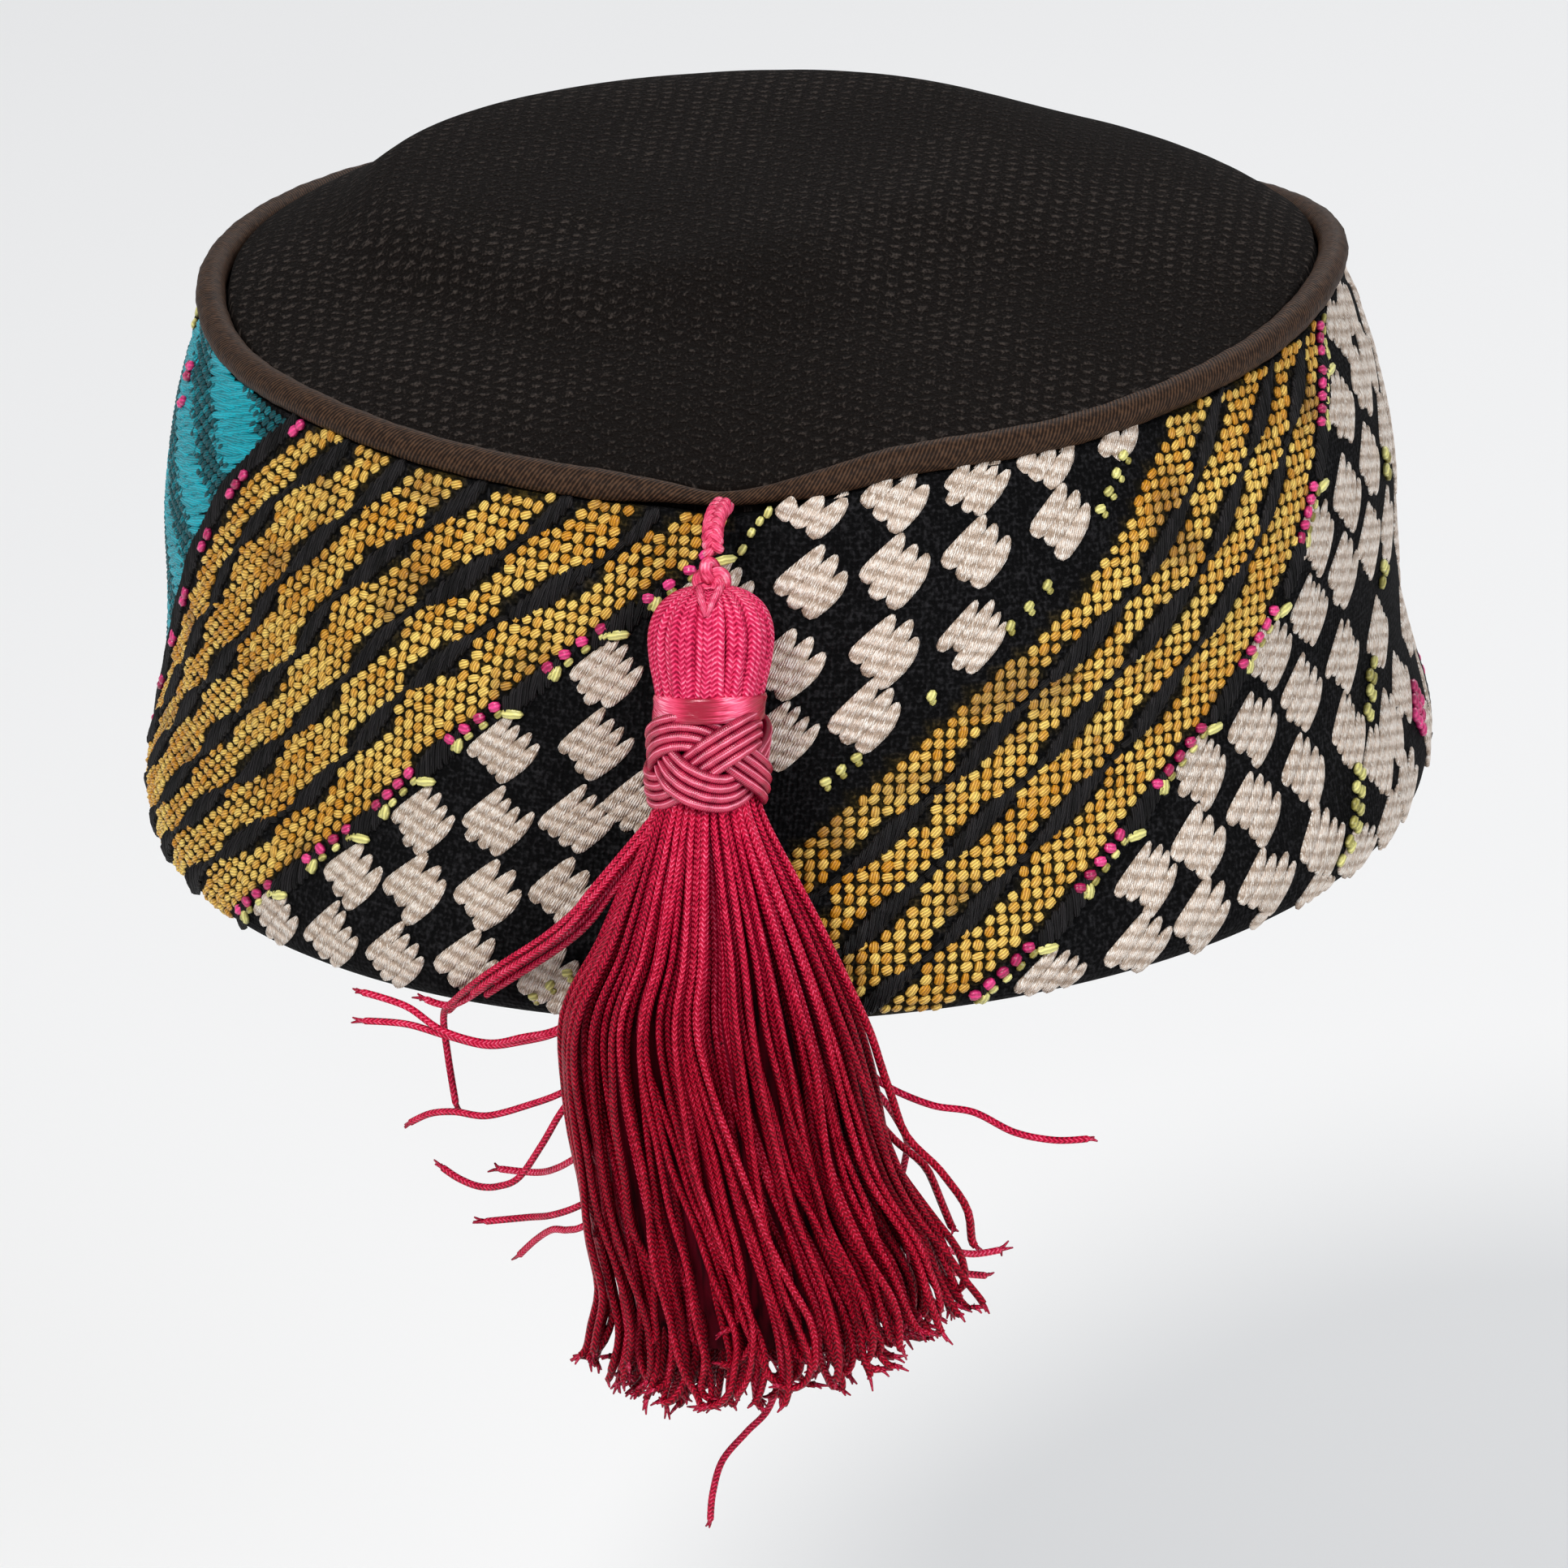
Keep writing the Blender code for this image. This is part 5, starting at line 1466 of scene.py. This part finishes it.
def fringe_route(angle, share, short):
    """One cord: out from under the ring, over the belly and down to its tip. Share 1 is the outside."""
    lock = (round(angle / 2 / math.pi * LOCKS + chance.normal() * 0.3) + 0.5) / LOCKS * 2 * math.pi
    held, tip_angle = angle + 0.3 * (lock - angle), angle + 0.10 * chance.normal()
    c, s = math.cos(held), math.sin(held)
    tip_c, tip_s = math.cos(tip_angle), math.sin(tip_angle)
    tip_x = SPREAD_X + (SPREAD_HALF[0] + LOCK_RADIUS[3]) * tip_c * share
    away = tip_x - LOWEST_TIP[0]
    tip_z = LOWEST_TIP[1] + (TIP_RISE_RIGHT if away > 0 else TIP_RISE_LEFT) * away**2 + short
    belly_x = BELLY_X + 1.0 + (BELLY_HALF[0] + LOCK_RADIUS[1]) * c * share
    belly_y = BELLY_Y - (BELLY_HALF[1] + LOCK_RADIUS[1] - 0.6) * s * share
    halfway_x = 0.5 * (belly_x + tip_x) - HALFWAY_TUCK * max(0.0, c) * share
    spread_x = SPREAD_X + (SPREAD_HALF[0] + 2.4) * tip_c * share
    narrow = 0.3 + 0.7 * share
    below = SKIRT_TOP + 2.6
    over_y = 0.35 * on_tassel(below, 0, 0, 0)[1] + 0.65 * BELLY_Y - 7.6 * s * share
    rows = [on_tassel(KNOT_BOTTOM - 1.2, 6.6 * narrow, 6.0 * narrow, angle),
            on_tassel(below, (SKIRT_TOP_HALF[0] + 0.4) * narrow, (SKIRT_TOP_HALF[1] + 0.4) * narrow, angle),
            (-2.0 + 14.9 * c * share, over_y, 17.5), (belly_x, belly_y, BELLY_HEIGHT),
            (halfway_x, belly_y, 0.5 * (BELLY_HEIGHT + tip_z) + 2),
            (spread_x, BELLY_Y - (SPREAD_HALF[1] + 3.0) * tip_s * share, tip_z + SPREAD_ABOVE_TIP),
            (tip_x + 1.2 * tip_c, BELLY_Y - (SPREAD_HALF[1] + 2.0) * tip_s * share, tip_z)]
    t = FRINGE_STEPS
    route = curve_through(rows, t)
    loose = ease((t - 2.2) / 2.6)[:, None]
    sway = waver(t, (1.4, 3.0), (0.2, 1.25)) + waver(t, (5, 9), (0.05, 0.32))
    route[:, :2] += sway * loose * np.array((1.0, 0.55))
    curl = chance.normal(0.4, 1.9) * (1.8 if chance.random() < 0.25 else 1.0)
    curl += 2.6 * max(0.0, tip_c * share - 0.55)
    late = np.clip(t - 5.1, 0, None)
    route[:, 0] += curl * late**1.6
    route[:, 2] += 0.45 * abs(curl) * late**1.6
    return route


def frayed(route):
    """A few loose threads where a cord's end has come undone."""
    end, way = route[-1], unit(route[-1] - route[-3])
    for _ in range(3):
        aside = chance.normal(size=3) * 0.4
        reach = chance.uniform(0.6, 1.7)
        thread = np.array([end - way * 0.6, end + way * reach * 0.5 + aside * 0.4, end + way * reach + aside])
        yield thread, np.array((0.3, 0.24, 0.12))


fringe_routes, frayed_routes = [], []
for count, share, jitter in FRINGE_LAYERS:
    for k in range(count):
        angle = 2 * math.pi * (k + 0.2 * chance.normal()) / count
        short = abs(chance.normal()) * (2.6 if chance.random() < 0.7 else 8.0)
        route = fringe_route(angle, share * (1 + jitter * chance.normal() * 0.5), short)
        fringe_routes.append((route, CORD_RADIUS * chance.uniform(0.9, 1.06)))
        frayed_routes += list(frayed(route))
lay_cords("fringe_cords", fringe_routes, fringe_cord, "crimson_fringe", "tassel_skirt", middle_line=tassel_middle)

# the fringe's dark middle: painted shade for the cords inside
a = circle(24)
core_rings = [on_tassel(SKIRT_TOP - 1, 5.8, 4.8, a)]
for height, x, half_x, half_y in CORE_RINGS:
    core_rings.append(np.stack([x + half_x * np.cos(a), BELLY_Y - half_y * np.sin(a), np.full(24, height)], -1))
hand_in("fringe_core", skin("fringe_core", core_rings, along=False), core_cloth, "crimson_fringe")

# %% Stray cords
STRAYS = (  # points of each, as (x, y, z)
    ((-8.0, -111.5, 36.2), (-16.4, -108.6, 26.0), (-22.7, -105.4, 18.2), (-33.0, -99.8, 8.6), (-37.4, -96.7, 4.8),
     (-41.9, -91.5, -0.9)),
    ((-7.2, -111.5, 36.1), (-15.0, -108.7, 25.4), (-21.4, -105.8, 17.1), (-34.2, -99.3, 6.6), (-40.8, -94.2, 1.1),
     (-45.1, -91.7, 1.1)),
    ((-9.1, -111.5, 35.6), (-18.1, -109.4, 24.5), (-23.7, -107.0, 17.6), (-35.1, -100.8, 8.1), (-40.6, -95.0, 2.0),
     (-42.6, -91.2, -1.6), (-42.4, -90.3, -8.0), (-41.5, -90.8, -15.5)),
    ((-18.3, -112.0, 7.9), (-24.3, -110.4, 3.3), (-29.6, -107.7, 1.1), (-35.1, -104.5, -0.9), (-41.7, -102.0, 0.1),
     (-47.0, -99.5, 2.9), (-53.6, -97.0, 4.2)),
    ((-18.4, -112.0, 6.8), (-24.3, -110.4, 2.8), (-29.6, -107.2, 0.3), (-35.1, -104.5, -1.3), (-41.1, -102.0, -0.7),
     (-47.1, -99.5, 0.2), (-53.5, -97.0, -0.2)),
    ((-17.6, -112.0, -1.5), (-23.9, -109.9, -6.3), (-29.5, -107.1, -9.4), (-35.6, -104.5, -11.9),
     (-40.5, -102.0, -12.2), (-44.3, -99.5, -13.4), (-47.5, -97.0, -15.7)),
    ((-18.8, -112.0, -2.2), (-24.0, -110.2, -8.7), (-27.6, -108.0, -15.0), (-31.3, -105.6, -20.8),
     (-34.5, -103.4, -23.0), (-37.6, -101.3, -23.8), (-40.7, -99.1, -23.4), (-43.2, -97.0, -22.5)),
    ((-17.4, -112.0, -12.0), (-22.5, -108.9, -16.5), (-26.1, -105.2, -19.7), (-29.5, -100.9, -21.9),
     (-35.1, -97.0, -22.8)),
    ((-17.2, -112.0, -19.6), (-22.5, -108.9, -23.9), (-27.0, -105.1, -26.8), (-30.9, -100.7, -28.8),
     (-37.5, -97.0, -30.8)),
    ((-16.1, -112.0, -21.8), (-21.9, -109.5, -26.7), (-24.6, -106.8, -28.4), (-27.2, -103.6, -29.6),
     (-30.0, -100.0, -32.5), (-32.8, -97.0, -36.0)),
    ((14.8, -108.0, 0.5), (19.2, -106.9, -5.0), (22.2, -105.6, -8.0), (27.7, -103.7, -11.2), (33.2, -101.7, -13.0),
     (38.8, -100.1, -16.7), (44.4, -98.6, -18.5), (49.1, -97.0, -18.9)),
    ((15.3, -108.0, -2.3), (19.4, -106.7, -7.3), (21.2, -105.3, -10.3), (22.5, -103.8, -13.3), (23.5, -102.2, -16.4),
     (23.5, -100.7, -18.8), (22.6, -99.5, -22.9)),
    ((23.1, -108.0, -27.1), (27.1, -105.5, -31.3), (29.2, -102.7, -33.5), (32.4, -99.8, -35.2), (35.9, -97.0, -35.7)),
    ((20.7, -108.0, -29.3), (26.9, -104.7, -35.1), (30.0, -100.7, -37.7), (33.8, -97.0, -39.6)),
    ((5.7, -108.0, -47.0), (4.7, -108.0, -51.0), (2.7, -106.9, -56.1), (-0.5, -105.9, -59.8), (-4.2, -104.7, -64.6),
     (-5.9, -103.6, -70.1), (-6.5, -102.4, -74.7)),
)
stray_routes = []
for points in STRAYS:
    t = np.linspace(0, len(points) - 1, 9 * len(points))
    stray_routes.append((curve_through(points, t), np.where(t > t[-1] - 0.15, 0.4, 0.56)))
moved = np.array((-0.3, -0.5, -1.4))
doubled = [(route[:34] + moved, 0.56) for route, _ in stray_routes[:3]]  # the bundle at the left is twice as thick
lay_cords("stray_cords", stray_routes + doubled, loose_cord, "crimson_fringe")
for route, _ in stray_routes:
    frayed_routes += list(frayed(route))
lay_cords("frayed_ends", frayed_routes, loose_cord, "crimson_fringe", sides=4)

# %% [markdown]
# ## Last things
# The patterns for the floats are removed.

# %% The float patterns are removed
for pattern in (grain_float, long_float, finger_float):
    bpy.data.objects.remove(pattern)
